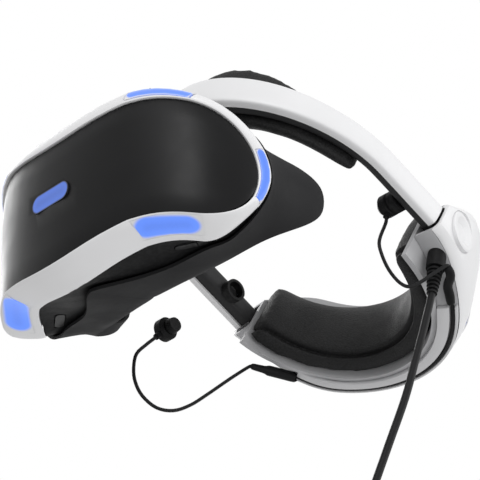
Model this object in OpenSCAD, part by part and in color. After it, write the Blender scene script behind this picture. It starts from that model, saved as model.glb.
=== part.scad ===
// Headset: a visor on a halo headband, with a fit dial at the back and two earbuds.
// The origin is midway between the wearer's eyes: +X to the wearer's left, +Y to the back, +Z up.

/* [Visor] */
// Overall width of the visor across the bezel
visor_w = 187; // [178:1:196]
// Distance from the eyes forward to the faceplate
front_reach = 90; // [86:1:96]
// How far the front wraps back along the sides
wrap_depth = 64; // [58:1:70]
// Roundness of the front seen from above, 2 is an ellipse
wrap_power = 2; // [1.8:0.1:2.4]
// Height of the faceplate at its middle
plate_h = 71; // [66:1:76]
// Thickness of the faceplate
plate_t = 2.4; // [1.8:0.2:3]
// Gap between the faceplate and the bezel
plate_gap = 0.8; // [0.4:0.1:1.2]
// Height of the bezel above the faceplate
bezel_top_h = 10; // [8:0.5:12]
// How far the top of the bezel leans back
bezel_top_lean = 5; // [3:0.5:7]
// Height of the bezel below the faceplate
bezel_bottom_h = 7; // [5:0.5:9]
// How far the bottom of the bezel leans back
bezel_bottom_lean = 16; // [12:0.5:18]
// Width of the bezel at the sides
bezel_side = 6; // [4:0.5:8]
// Thickness of the bezel
bezel_t = 2.2; // [1.6:0.2:3]
// Length of the front light window
front_light_w = 29; // [22:1:36]
// Height of the front light window
front_light_h = 10.5; // [7:0.5:12]
// Wall of the visor housing
housing_wall = 2.4; // [1.8:0.2:3]
// Half width of the opening in front of the face
mask_half_w = 78; // [74:1:82]
// Height of the opening above the eyes
mask_up = 43; // [40:0.5:46]
// Depth of the opening below the eyes
mask_down = 33; // [31:0.5:35]
// How far the light shield reaches behind the eyes at the temples
shield_reach = 26; // [22:1:30]
// Wall of the light shield
shield_t = 2; // [1.4:0.2:2.6]
// How far the nose notch cuts into the visor
nose_depth = 22; // [16:1:26]

/* [Optics] */
// Distance between the lens centres
lens_pitch = 63; // [60:0.5:66]
// Diameter of a lens
lens_d = 44; // [38:1:48]
// Thickness of a lens at its middle
lens_t = 14; // [10:1:16]
// Distance from the eyes to the lens mask
eye_relief = 24; // [22:1:27]
// Width of the display panel
display_w = 120; // [110:1:124]
// Height of the display panel
display_h = 62; // [56:1:64]

/* [Visor slide] */
// Width of the slide tongue
tongue_w = 76; // [66:1:84]
// Thickness of the slide tongue
tongue_t = 5; // [4:0.5:6]
// Height of the middle of the tongue above the eyes
tongue_z = 53; // [52:0.5:54]
// How far the visor slides forward
visor_travel = 30; // [20:1:32]
// Clearance round sliding pieces
slide_gap = 0.4; // [0.3:0.05:0.6]

/* [Headband] */
// Backward lean of the headband
band_tilt = 29; // [27:0.5:31]
// Height of the middle of the band above the eyes, at the forehead
brow_z = 91.5; // [89:0.5:95]
// Half width of the headband at its arms
band_half_w = 75.5; // [73:0.5:77]
// Length of the front half of the headband along its lean
band_len = 88; // [84:1:92]
// Length of the straight arms behind it
arm_len = 40; // [36:1:44]
// Height of the white band at the forehead
band_h_front = 23.5; // [20:0.5:26]
// Height of the white band at the arms
band_h_arm = 15; // [13:0.5:17]
// Thickness of the white band
band_t = 5.6; // [4.6:0.2:6.4]
// Thickness of the band liner
liner_t = 6.4; // [5:0.2:7]
// Thickness of the forehead pad
brow_pad_t = 16; // [12:1:20]
// Height of the forehead pad above the middle of the band
brow_dome = 35; // [31:1:39]
// Depth of the forehead pad below the middle of the band
brow_drop = 13; // [12:0.5:15]

/* [Rear half] */
// How far the rear shell stands out beyond the arms
rear_step = 2.4; // [1.6:0.2:3.4]
// Distance from the eyes back to the end of the headset
rear_reach = 187; // [182:1:192]
// Height of the rear shell at the back
rear_h = 56; // [52:1:60]
// Wall of the rear shell
rear_wall = 2.4; // [1.8:0.2:3]
// Depth of the rear half
rear_depth = 17; // [15:0.5:19]
// How far the edges of the rear shell curve in
cover_depth = 5; // [4:0.5:7]
// Height of the rear pad
rear_pad_h = 33; // [29:1:37]
// Thickness of the rear pad
rear_pad_t = 15; // [11:1:18]
// How far the rear half pulls out
rear_travel = 24; // [16:1:26]

/* [Fit dial] */
// Diameter of the fit dial
dial_d = 38; // [34:1:42]
// Number of grip notches round the dial
dial_notches = 20; // [12:1:28]
// Diameter of the headband release button
release_d = 20; // [16:1:22]

/* [Leads] */
// Diameter of the main cable
cable_d = 4.2; // [3.6:0.1:4.8]
// Diameter of the earbud cords
bud_cord_d = 2; // [1.6:0.1:2.4]
// Turns in each layer of the tied coil
coil_turns = 3; // [2:1:3]
// Diameter of the hole in the coil
coil_d = 28; // [26:1:34]

/* [Hidden] */
$fn = 48;

white = [0.90, 0.90, 0.91];
charcoal = [0.16, 0.16, 0.17];
rubber = [0.13, 0.13, 0.14];
blue = [0.42, 0.58, 1.0];

// Lofts: every ring is a closed loop with the same even number of points
function corner(m, i, j) = i * m + j % m;
function side_faces(n, m, loop) = [
    for (i = [0 : n - (loop ? 1 : 2)], j = [0 : m - 1])
        let (a = corner(m, i, j), b = corner(m, i, j + 1))
        let (c = corner(m, (i + 1) % n, j + 1), d = corner(m, (i + 1) % n, j))
        each [[a, b, c], [a, c, d]]
];
function cap_faces(first, m, flip) = [
    for (j = [0 : m / 2 - 2])
        let (a = first + j, b = first + j + 1, c = first + m - 2 - j, d = first + m - 1 - j)
        each flip ? [[a, c, b], [a, d, c]] : [[a, b, c], [a, c, d]]
];
function volume6(p, faces) = [for (f = faces) p[f[0]] * cross(p[f[1]], p[f[2]])] * [for (f = faces) 1];
function outward(p, faces) = volume6(p, faces) > 0 ? [for (f = faces) [f[0], f[2], f[1]]] : faces;
function flat(rings) = [for (r = rings) each r];

module loft(rings, loop = false) {
    n = len(rings);
    m = len(rings[0]);
    p = flat(rings);
    ends = loop ? [] : concat(cap_faces(0, m, true), cap_faces((n - 1) * m, m, false));
    polyhedron(p, outward(p, concat(side_faces(n, m, loop), ends)), convexity = 8);
}

function unit(v) = v / norm(v);
function mix(a, b, k) = a + (b - a) * k;
function spow(x, e) = sign(x) * pow(abs(x), e);
function clamp01(x) = max(0, min(1, x));
function steps(a, b, n) = [for (i = [0 : n - 1]) a + (b - a) * i / n];

// The front seen from above: half a superellipse, run on straight past its ends
WRAP_STEPS = 36;
wrap_half_w = visor_w / 2 - 2.5;
wrap_tail = 40;
wrap_curve = concat(
    [for (i = [0 : WRAP_STEPS]) let (a = 90 * i / WRAP_STEPS)
        [wrap_half_w * pow(sin(a), 2 / wrap_power), wrap_depth * (1 - pow(cos(a), 2 / wrap_power))]],
    [[wrap_half_w, wrap_depth + wrap_tail]]);
wrap_arc = [for (i = 0, s = 0; i < len(wrap_curve);
    s = s + (i + 1 < len(wrap_curve) ? norm(wrap_curve[i + 1] - wrap_curve[i]) : 0), i = i + 1) s];
wrap_x = [for (i = [0 : len(wrap_arc) - 1]) [wrap_arc[i], wrap_curve[i].x]];
wrap_y = [for (i = [0 : len(wrap_arc) - 1]) [wrap_arc[i], wrap_curve[i].y]];
function wrap_at(s) = [sign(s) * lookup(abs(s), wrap_x), lookup(abs(s), wrap_y) - front_reach];
function wrap_out(s) = let (t = unit(wrap_at(s + 1) - wrap_at(s - 1))) [t.y, -t.x];
function skin(s, h, out) = let (p = wrap_at(s), n = wrap_out(s)) [p.x + out * n.x, p.y + out * n.y, h];

// The faceplate's rim, laid out flat: a long round-ended shape that rises a little towards the sides
rim_len = wrap_arc[WRAP_STEPS] - 2.5;
rim_r = plate_h / 2;
rim_drop = -4.5;
rim_rise = 8.5;
rim_taper = 0.15;
function rim_half(s, len, r) = let (k = max(0, (abs(s) - (len - rim_r)) / rim_r))
    r * (1 - rim_taper * pow(s / len, 2)) * sqrt(max(0, 1 - k * k));
function rim_at(a, longer, taller, out) =
    let (len = rim_len + longer, s = len * cos(a), half = rim_half(s, len, rim_r + taller))
    skin(s, rim_mid(s) + (sin(a) < 0 ? -half : half), out);
function rim_mid(s) = rim_drop + rim_rise * pow(sin(180 * clamp01(abs(s) / rim_len)), 2);

// Faceplate: columns across the front, each a thin closed section
PLATE_COLS = 36;
PLATE_ROWS = 6;
plate_crown = 1.5;
function plate_section(a) =
    let (len = rim_len - plate_gap, s = len * cos(a), half = rim_half(s, len, rim_r - plate_gap))
    let (h = [for (j = [0 : PLATE_ROWS]) half * (2 * j / PLATE_ROWS - 1)])
    concat(
        [for (j = [0 : PLATE_ROWS]) skin(s, rim_mid(s) + h[j], -plate_crown * pow(h[j] / rim_r, 2))],
        [for (j = [PLATE_ROWS : -1 : 0])
            skin(s, rim_mid(s) + h[j], -plate_crown * pow(h[j] / rim_r, 2) - plate_t)]);

module pill(w, h) {
    square([w - h, h], center = true);
    for (k = [-1, 1]) translate([k * (w - h) / 2, 0]) circle(d = h);
}
module front_light_prism(gap) {
    translate([0, -front_reach + plate_t + 1, 0]) rotate([90, 0, 0])
        linear_extrude(plate_t + 2) pill(front_light_w + 2 * gap, front_light_h + 2 * gap);
}
module faceplate() {
    color(charcoal) difference() {
        loft([for (i = [0 : PLATE_COLS]) plate_section(2 + 176 * i / PLATE_COLS)]);
        front_light_prism(0);
    }
}
light_fit = 0.1;
module front_light() {
    color(blue) translate([0, -front_reach + plate_t, 0]) rotate([90, 0, 0])
        linear_extrude(plate_t) pill(front_light_w - 2 * light_fit, front_light_h - 2 * light_fit);
}

// Bezel: a band round the rim, with pockets for its six light windows. Angles run round the rim
// from the wearer's left, by the top.
bezel_bulge = 1.2;
bezel_flare = 2.5;
bezel_tuck = 8;
bezel_thin = 4.6;
pocket = 1.2;
POCKET_EDGE = 0.4;
SIDE_LIGHT = 14;
TOP_LIGHT = [46.5, 66.5];
BOTTOM_LIGHT = [43, 65];
POCKET_ROWS = [0.14, 0.88];
function low_corner(a) = sin(a) < 0 ? 6.75 * pow(cos(a), 4) * pow(sin(a), 2) : 0;
function bezel_grow(a) = sin(a) < 0
    ? bezel_bottom_h - bezel_thin * low_corner(a) : bezel_top_h * (1 - 0.8 * pow(cos(a), 2));
function bezel_lean(a) = bezel_tuck * low_corner(a)
    + (sin(a) < 0 ? bezel_bottom_lean : bezel_top_lean) * (1 - pow(cos(a), 6));
function bezel_at(a, v, out) =
    rim_at(a, bezel_side * v, bezel_grow(a) * v,
        bezel_bulge * sin(180 * v) - bezel_lean(a) * pow(v, 1.3) + bezel_flare * v * pow(cos(a), 2) + out);
light_spans = [
    [-SIDE_LIGHT, SIDE_LIGHT], TOP_LIGHT, [180 - TOP_LIGHT[1], 180 - TOP_LIGHT[0]],
    [180 - SIDE_LIGHT, 180 + SIDE_LIGHT],
    [180 + BOTTOM_LIGHT[0], 180 + BOTTOM_LIGHT[1]], [360 - BOTTOM_LIGHT[1], 360 - BOTTOM_LIGHT[0]]];
function span_next(i) = i + 1 < len(light_spans) ? light_spans[i + 1][0] : 360 + light_spans[0][0];
bezel_angles = [for (i = [0 : len(light_spans) - 1]) let (w = light_spans[i], next = span_next(i))
    each concat([w[0] - POCKET_EDGE], steps(w[0], w[1], 5), [w[1]],
        steps(w[1] + POCKET_EDGE, next - POCKET_EDGE, 6))];
function in_light(a) = len([for (w = light_spans) if (a >= w[0] && a <= w[1]) 1]) > 0;
pocket_lip = 0.03;
pocket_inner = [0.38, 0.64];
bezel_rows = concat(
    [0, POCKET_ROWS[0] - pocket_lip, POCKET_ROWS[0]],
    pocket_inner,
    [POCKET_ROWS[1], POCKET_ROWS[1] + pocket_lip, 1]);
FRAME_ROW = 0.2;
bezel_back_rows = [1, 0.84, 0.64, 0.42, FRAME_ROW, 0];
function bezel_section(a) = concat(
    [for (v = bezel_rows) bezel_at(a, v,
        in_light(a) && v >= POCKET_ROWS[0] && v <= POCKET_ROWS[1] ? -pocket : 0)],
    [for (v = bezel_back_rows) bezel_at(a, v, -bezel_t)]);
module bezel() {
    color(white) loft([for (a = bezel_angles) bezel_section(a)], loop = true);
}
LIGHT_COLS = 5;
light_rows = concat([POCKET_ROWS[0] + pocket_lip / 2], pocket_inner, [POCKET_ROWS[1] - pocket_lip / 2]);
function light_section(a) = concat(
    [for (v = light_rows) bezel_at(a, v, light_fit)],
    [for (k = [3 : -1 : 0]) bezel_at(a, light_rows[k], -pocket + 4 * light_fit)]);
module light(span) {
    color(blue) loft([for (k = [0 : LIGHT_COLS])
        light_section(mix(span[0] + 0.3, span[1] - 0.3, k / LIGHT_COLS))]);
}
module lights(spans) {
    for (i = spans) light(light_spans[i]);
}
module top_lights() { lights([1, 2]); }
module bottom_lights() { lights([4, 5]); }
module side_lights() { lights([0, 3]); }

// Front frame: a ring behind the faceplate's rim that carries the faceplate and the bezel
frame_in = 5;
frame_t = 2.5;
seat = 0.15;
plate_back = -plate_crown - plate_t - seat;
function frame_section(a) = let (v = FRAME_ROW, w = plate_gap / 2) [
    rim_at(a, -frame_in, -frame_in, plate_back), rim_at(a, -w, -w, plate_back),
    bezel_at(a, 0, -bezel_t - seat), bezel_at(a, v, -bezel_t - seat),
    bezel_at(a, v, -bezel_t - frame_t), rim_at(a, -frame_in, -frame_in, plate_back - frame_t)];
module front_frame() {
    color(charcoal) loft([for (a = bezel_angles) frame_section(a)], loop = true);
}

// Visor housing: runs back from behind the bezel to the mask in front of the face, notched for the nose
front_angles = steps(0, 264, 44);
nose_angles = [264, 267, 269, 269.94, 270, 270.06, 271, 273];
loop_angles = concat(front_angles, nose_angles, steps(276, 360, 14));
mask_z = 0;
mask_y = -eye_relief;
mask_sweep = 16;
nose_half_w = 15;
function nose(x) = exp(-pow(x / nose_half_w, 2));
function mask_at(a, notch = nose_depth) =
    let (low = sin(a) < 0, x = mask_half_w * spow(cos(a), 0.75))
    [x, mask_y + mask_sweep * pow(cos(a), 2) - (low ? notch * nose(x) : 0),
     mask_z + (low ? mask_down : mask_up) * spow(sin(a), 0.75)];
spine = 45;
function inward(p, d) = p - d * unit([p.x - max(-spine, min(spine, p.x)), 0, p.z]);
function housing_at(a, k) = mix(inward(bezel_at(a, 1, -bezel_t - seat), 0.6), mask_at(a), k);
function housing_k(a, y) =
    let (f = housing_at(a, 0), b = housing_at(a, 1))
    clamp01((y - f.y) / (b.y - f.y));
housing_rows = [0, 0.5, 1];
function housing_section(a) = concat(
    [for (k = housing_rows) housing_at(a, k)],
    [for (i = [len(housing_rows) - 1 : -1 : 0]) inward(housing_at(a, housing_rows[i]), housing_wall)]);
function inner_at(a, y) = inward(housing_at(a, housing_k(a, y)), housing_wall + seat);
function inner_z(x, y, side) = lookup(x,
    [for (i = [8 : 28]) let (p = inner_at(side * 5 * i, y)) [p.x, p.z]]);

// Light shield: one rubber skirt from the housing back to the temples, slit under the nose
shield_half_w = 81;
shield_top_y = -14;
shield_low_y = -18;
shield_cheek = 14;
shield_z = 5;
shield_up = 31;
shield_down = 37;
shield_lip = 9;
shield_curl = 2;
shield_fit = 1.6;
slit_half_w = 2.6;
slit_from = 4;
shield_notch = 0.4;
function shield_edge(a) =
    let (c = abs(cos(a)), x = shield_half_w * spow(cos(a), 0.5), low = sin(a) < 0)
    let (y_low = shield_low_y + shield_cheek * c + (shield_reach - shield_low_y - shield_cheek) * pow(c, 6))
    let (y_up = mix(shield_top_y, shield_reach, pow(c, 3.6)))
    [x, low ? (abs(x) < slit_half_w ? mask_at(a, 0).y + slit_from : y_low) : y_up,
     shield_z + (low ? shield_down : shield_up) * spow(sin(a), 0.75)];
function shield_root(a) = let (c = abs(cos(a)))
    housing_at(a, sin(a) < 0
        ? mix(0.75, 0.12, pow(c, 2)) - shield_notch * exp(-pow(c / 0.25, 2))
        : mix(0.96, 0.12, pow(c, 5)));
function shield_section(a) =
    let (out = shield_t + shield_fit, e = shield_edge(a), m = mask_at(a, 0))
    let (p = [inward(shield_root(a), -out), inward(m, -out), mix(inward(m, -out), e, 0.55), e,
        inward(e, shield_lip) - [0, shield_curl, 0]])
    concat(p, [inward(e, shield_lip) - [0, shield_curl + shield_t, 0],
        inward(e, shield_t) - [0, shield_t, 0],
        inward(p[2], shield_t), inward(m, -shield_fit), inward(shield_root(a), -shield_fit)]);
module light_shield() {
    color(rubber) loft([for (a = loop_angles) shield_section(a)], loop = true);
}

// Optics: mask plate, lenses in barrels, display and board
optics_wall = 2;
mask_plate_t = 2.5;
mask_fit = 0.5;
display_t = 2;
lens_rim = 4;
lens_seat = 3;
lens_gap = 0.1;
LENS_STEPS = 6;
barrel_len = 31;
barrel_r = lens_d / 2 + optics_wall;
nose_cut_d = 40;
sensor_w = 12;
sensor_h = 5;
sensor_z = 24;
module face_plane(y) { translate([0, y, 0]) rotate([90, 0, 0]) children(); }
module lens_mask() {
    color(rubber) face_plane(mask_y) linear_extrude(mask_plate_t) difference() {
        polygon([for (a = loop_angles) let (p = inward(inner_at(a, mask_y), mask_fit)) [p.x, p.z]]);
        for (k = [-1, 1]) translate([k * lens_pitch / 2, 0]) circle(barrel_r + seat);
        translate([0, -mask_down]) circle(d = nose_cut_d);
        translate([0, sensor_z]) pill(sensor_w, sensor_h);
    }
}
module proximity_window() {
    color([0.1, 0.05, 0.08]) face_plane(mask_y) linear_extrude(mask_plate_t) translate([0, sensor_z])
        pill(sensor_w - 2 * seat, sensor_h - 2 * seat);
}
module at_eye(k) { translate([k * lens_pitch / 2, mask_y, 0]) rotate([90, 0, 0]) children(); }
module lens_barrel(k) {
    color(charcoal) at_eye(k) rotate_extrude() polygon([
        [lens_d / 2 + lens_gap, 0], [barrel_r, 0], [barrel_r, barrel_len],
        [lens_d / 2 - optics_wall, barrel_len],
        [lens_d / 2 - optics_wall, lens_t + lens_seat], [lens_d / 2 + lens_gap, lens_t + lens_seat]]);
}
module lens_barrel_left() { lens_barrel(1); }
module lens_barrel_right() { lens_barrel(-1); }
eye_bow = 3;
front_bow = lens_t - lens_rim - eye_bow;
function lens_arc(i, base, bow) =
    let (r = lens_d / 2 * i / LENS_STEPS)
    [r, base + bow * (1 - pow(2 * r / lens_d, 2))];
module lens(k) {
    color([0.75, 0.8, 0.85]) at_eye(k) translate([0, 0, lens_seat + eye_bow]) rotate_extrude()
        polygon(concat(
            [for (i = [0 : LENS_STEPS]) lens_arc(i, 0, -eye_bow)],
            [for (i = [LENS_STEPS : -1 : 0]) lens_arc(i, lens_rim, front_bow)]));
}
module lens_left() { lens(1); }
module lens_right() { lens(-1); }
module span_box(x, y, z) { translate([x[0], y[0], z[0]]) cube([x[1] - x[0], y[1] - y[0], z[1] - z[0]]); }
function about(c, half) = [c - half, c + half];
display_z = 2;
display_y = mask_y - barrel_len - seat;
module display_panel() {
    color([0.05, 0.05, 0.06])
        span_box(about(0, display_w / 2), [display_y - display_t, display_y],
            about(display_z, display_h / 2));
}
frame_edge = 2;
post_w = 6;
post_fit = 0.3;
board_w = 92;
board_h = 48;
board_t = 1.6;
display_back = display_y - display_t - seat;
tray_t = 2;
post_y = display_back - tray_t - 3;
module post(x) {
    span_box(about(x, post_w / 2), [post_y, display_back - 1],
        [max(inner_z(x - post_w / 2, post_y, -1), inner_z(x + post_w / 2, display_back, -1)) + post_fit,
         min(inner_z(x - post_w / 2, post_y, 1), inner_z(x + post_w / 2, post_y, 1)) - 2 * post_fit]);
}
module display_tray() {
    color(charcoal) {
        difference() {
            span_box(about(0, display_w / 2 + frame_edge), [display_back - tray_t, display_y],
                about(display_z, display_h / 2 + frame_edge));
            span_box(about(0, display_w / 2 + seat), [display_back, display_y + 1],
                about(display_z, display_h / 2 + seat));
            span_box(about(0, board_w / 2 - 10), [display_back - tray_t - 1, display_y],
                about(display_z, display_h / 2 - 6));
        }
        for (k = [-1, 1]) post(k * (board_w / 2 - post_w / 2));
    }
}
module main_board() {
    color([0.1, 0.3, 0.2])
        span_box(about(0, board_w / 2), [post_y - seat - board_t, post_y - seat],
            about(display_z, board_h / 2));
}

// Visor slide: a tongue on the headband runs in a carriage on top of the visor
tongue_grip = 12;
carriage_y = [-16 - visor_travel - tongue_grip, -16];
carriage_base_y = -28;
carriage_wall = 3;
carriage_floor = 2;
carriage_sink = 4;
carriage_half_w = tongue_w / 2 + slide_gap + carriage_wall;
slot_z = about(tongue_z, tongue_t / 2 + slide_gap);
carriage_z = [mask_z + mask_up - carriage_sink, slot_z[0] - carriage_floor, slot_z[1] + carriage_wall];
module carriage_seat() {
    span_box(about(0, carriage_half_w + seat), [carriage_y[0] - seat, carriage_base_y + seat],
        [carriage_z[0] - 8, carriage_z[2]]);
}
module slide_carriage() {
    color(charcoal) difference() {
        union() {
            span_box(about(0, carriage_half_w), carriage_y, [carriage_z[1], carriage_z[2]]);
            span_box(about(0, carriage_half_w), [carriage_y[0], carriage_base_y],
                [carriage_z[0], carriage_z[2]]);
        }
        span_box(about(0, tongue_w / 2 + slide_gap), carriage_y + [carriage_wall, 1], slot_z);
    }
}

// Keys under the visor, each in a slot through the housing with a flange behind it
key_at = [304, 0.36];
key_w = 18;
key_h = 6;
key_gap = 0.5;
key_proud = 0.7;
key_flange = 1.2;
key_root = housing_wall + 1;
function frame_on(a, k) =
    let (p = housing_at(a, k), t = unit(housing_at(a + 2, k) - housing_at(a - 2, k)))
    let (d = unit(housing_at(a, k + 0.1) - housing_at(a, k - 0.1)), n = unit(cross(t, d)))
    let (o = n * [p.x, 0, p.z] > 0 ? n : -n, b = cross(o, t))
    [[t.x, b.x, o.x, p.x], [t.y, b.y, o.y, p.y], [t.z, b.z, o.z, p.z], [0, 0, 0, 1]];
module on_under(side) {
    multmatrix(frame_on(side > 0 ? key_at[0] : 540 - key_at[0], key_at[1])) children();
}
KEY_CORNERS = 8;
key_outline = [for (k = [1, -1], i = [0 : KEY_CORNERS]) let (a = k * 90 - 180 * i / KEY_CORNERS)
    [k * (key_w - key_h) / 2 + key_h / 2 * cos(a), key_h / 2 * sin(a)]];
module key_slot(side) {
    on_under(side) translate([0, 0, -10]) linear_extrude(20) polygon(key_outline);
}
module key_solid(w, x) {
    intersection() {
        union() {
            translate([0, 0, -key_root]) linear_extrude(key_root + key_proud)
                pill(key_w - 2 * key_gap, key_h - 2 * key_gap);
            translate([0, 0, -key_root - key_flange]) linear_extrude(key_flange)
                pill(key_w + 3, key_h + 3);
        }
        translate([x - w / 2, -10, -10]) cube([w, 20, 20]);
    }
}
key_cut = key_w / 2 - key_h;
pivot_r = 1.8;
module volume_rocker() {
    color(charcoal) on_under(1) {
        key_solid(key_w + 3, -key_w / 2 - 1.5 + key_cut);
        translate([(key_cut - key_w / 2) / 2, 0, -key_root]) rotate([90, 0, 0])
            cylinder(r = pivot_r, h = key_h - 2 * key_gap, center = true);
    }
}
module power_key() {
    color(charcoal) on_under(1) key_solid(key_w + 3, key_w / 2 + 1.5 + key_cut + key_gap);
}
module visor_release() { color(charcoal) on_under(-1) key_solid(key_w + 4, 0); }
module visor_housing() {
    color(charcoal) difference() {
        loft([for (a = loop_angles) housing_section(a)], loop = true);
        carriage_seat();
        key_slot(1);
        key_slot(-1);
    }
}

// Headband: a ring that leans back, with straight arms
band_up = [0, sin(band_tilt), cos(band_tilt)];
band_back = [0, cos(band_tilt), -sin(band_tilt)];
band_front = [0, 0, brow_z];
band_round = 1.83;
function ring_at(a) = band_front + [band_half_w * spow(sin(a), 2 / band_round), 0, 0]
    + band_len * (1 - pow(cos(a), 2 / band_round)) * band_back;
function ring_out(a) = let (g = 2 - 2 / band_round)
    unit([spow(sin(a), g) / band_half_w, 0, 0] - pow(cos(a), g) / band_len * band_back);
function band_point(a, back, n, u) = ring_at(a) + back * band_back + n * ring_out(a) + u * band_up;
function band_half(a) = mix(band_h_arm, band_h_front, pow(cos(a), 2)) / 2;
band_stops = concat([[-90, arm_len]], [for (i = [-18 : 18]) [5 * i, 0]], [[90, arm_len]]);
edge_r = 1.6;
function shell_section(a, back) = let (h = band_half(a)) [
    for (q = [[0, -1, 0], [band_t - edge_r, -1, 0], [band_t - edge_r / 3, -1, edge_r], [band_t, 0, 0],
        [band_t - edge_r / 3, 1, -edge_r], [band_t - edge_r, 1, 0], [0, 1, 0], [0, 0, 0]])
        band_point(a, back, q[0], q[1] * h + q[2])];
module band_shell() { color(white) loft([for (s = band_stops) shell_section(s[0], s[1])]); }
liner_inset = 1.2;
function liner_half(a) = band_half(a) - liner_inset;
function liner_section(a, back) = let (h = liner_half(a)) [
    for (q = [[0, -1, 0], [0, 0, 0], [0, 1, 0], [liner_t - edge_r, 1, 0],
        [liner_t, 1, -edge_r], [liner_t, 0, 0], [liner_t, -1, edge_r], [liner_t - edge_r, -1, 0]])
        band_point(a, back, -seat - q[0], q[1] * h + q[2])];
module band_liner() { color([0.2, 0.2, 0.21]) loft([for (s = band_stops) liner_section(s[0], s[1])]); }

// Brow bracket: hangs from the band and ends in the tongue that the visor slides on
BRACKET = 24;
bracket_y = [-13, -5];
tongue_tip = carriage_y[0] + carriage_wall + 1;
module brow_bracket() {
    color(charcoal) {
        loft([for (i = [-6 : 6]) let (a = BRACKET * i / 6, h = liner_half(a) + seat, x = ring_at(a).x) [
            [x, bracket_y[0], tongue_z], band_point(a, 0, -seat, -h),
            band_point(a, 0, -liner_t + edge_r, -h), [x, bracket_y[1], tongue_z]]]);
        span_box(about(0, tongue_w / 2), [tongue_tip, bracket_y[1] + 1], about(tongue_z, tongue_t / 2));
    }
}

// Pads: crowned towards the head and drawn in round their edges
PAD_ROWS = 9;
pad_edge = 3;
pad_rows = [for (j = [0 : PAD_ROWS]) (1 - cos(180 * j / PAD_ROWS)) / 2];
function pad_swell(w) = pow(1 - pow(abs(2 * w - 1), 3), 0.5);
function pad_tuck(w) = 1.5 * pow(abs(2 * w - 1), 8);
BROW_END = 82;
BROW_DOME = 67;
BROW_COLS = 32;
dome_from = 14;
dome_lean = 0.2;
function brow_top(a) =
    let (side = liner_half(a) + 1)
    side + (brow_dome - side) * max(0, 1 - pow(abs(a / BROW_DOME), 2.6));
function brow_back(u) = liner_t + 2 * seat - dome_lean * max(0, u - dome_from);
function brow_section(i) =
    let (k = 2 * i / BROW_COLS - 1, a = BROW_END * sin(90 * k), end = sqrt(1 - pow(k, 10)))
    let (top = brow_top(a) * mix(0.6, 1, end), low = -brow_drop * mix(0.4, 1, end))
    let (u = [for (w = pad_rows) mix(low, top, w)], full = mix(0.5, 1, pow(cos(a), 2)))
    let (t = pad_edge + (brow_pad_t - pad_edge) * mix(0.1, full, end))
    concat(
        [for (j = [0 : PAD_ROWS]) band_point(a, 0, -brow_back(u[j]) - pad_tuck(pad_rows[j]), u[j])],
        [for (j = [PAD_ROWS : -1 : 0]) band_point(a, 0,
            -brow_back(u[j]) - pad_edge - (t - pad_edge) * pad_swell(pad_rows[j]), u[j])]);
module forehead_pad() { color([0.08, 0.08, 0.09]) loft([for (i = [0 : BROW_COLS]) brow_section(i)]); }

// Arms: toothed straps that run into the rear half, and clips that park the earbuds
arm_end = ring_at(90) + arm_len * band_back;
module on_arm(k) {
    translate([k < 0 ? -2 * arm_end.x : 0, 0, 0] + arm_end) rotate([-band_tilt, 0, 0]) children();
}
strap_t = 2.6;
strap_h = 9;
strap_run = rear_travel + 7;
tooth = 2;
strap_teeth = floor((strap_run - 4) / tooth);
strap_step = 0.55;
strap_in = liner_t + seat + strap_step;
module strap(k) {
    color([0.3, 0.3, 0.31]) on_arm(k) translate([k > 0 ? -strap_in : strap_in - strap_t, 0, 0])
        rotate([90, 0, 90]) linear_extrude(strap_t) polygon(concat(
            [[0, -strap_h / 2], [strap_run, -strap_h / 2], [strap_run, strap_h / 2 - 1]],
            [for (i = [strap_teeth : -1 : 0])
                each [[3 + i * tooth, strap_h / 2 - 1], [2 + i * tooth, strap_h / 2]]],
            [[0, strap_h / 2]]));
}
module strap_left() { strap(1); }
module strap_right() { strap(-1); }
socket_back = 19;
socket_z = -1;
bud_tip_r = 4.6;
socket_r = bud_tip_r + 0.3;
socket_wall = 1.6;
socket_w = 5;
socket_x = liner_t + 2 * seat + socket_w;
module bud_socket(k) {
    color(charcoal) on_arm(k) translate([k > 0 ? -socket_x : socket_x - socket_w, -socket_back, socket_z])
        rotate([0, 90, 0]) difference() {
            cylinder(r = socket_r + socket_wall, h = socket_w);
            translate([0, 0, -1]) cylinder(r = socket_r, h = socket_w + 2);
        }
}
module bud_socket_left() { bud_socket(1); }
module bud_socket_right() { bud_socket(-1); }

// Rear half: a deep white shell, closed on the inside by a grey plate that carries the pad
REAR_START = 97;
REAR_COLS = 38;
mouth_gap = 1.6;
mouth_lip = 3.5;
dial_proud = 3;
rear_low_z = 9;
rear_low_tilt = 12;
mouth = arm_end + mouth_gap * band_back;
rear_end = rear_reach - dial_proud;
rear_mid_y = (mouth.y + cos(REAR_START) * rear_end) / (1 + cos(REAR_START));
rear_len = rear_end - rear_mid_y;
rear_half_w = (band_half_w + band_t + rear_step) / sin(REAR_START);
function rear_k(a) = clamp01((cos(REAR_START) - cos(a)) / (1 + cos(REAR_START)));
function rear_flat(a) = [rear_half_w * sin(a), rear_mid_y - rear_len * cos(a), 0];
function rear_out(a) = unit([rear_len * sin(a), -rear_half_w * cos(a), 0]);
function rear_up(a) = let (t = mix(band_tilt, rear_low_tilt, rear_k(a))) [0, sin(t), cos(t)];
function rear_z(a) = mix(mouth.z, rear_low_z, pow(rear_k(a), 0.9));
REAR_TOP = 0.535;
rear_dip = 4.5;
mouth_half = band_h_arm / 2 + mouth_lip;
function eased(x) = let (c = clamp01(x)) c * c * (3 - 2 * c);
function rear_top(a) =
    mix(mouth_half, rear_h * REAR_TOP, sin(90 * clamp01(rear_k(a) / 0.55)))
    - rear_dip * eased((rear_k(a) - 0.5) / 0.5);
function rear_low(a) = mix(mouth_half, rear_h * (1 - REAR_TOP), eased(rear_k(a) / 0.8));
function rear_half(a, v) = v > 0 ? rear_top(a) : rear_low(a);
function rear_bow(a, v) = cover_depth * pow(abs(v), mix(8, 3.2, rear_k(a)));
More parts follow.
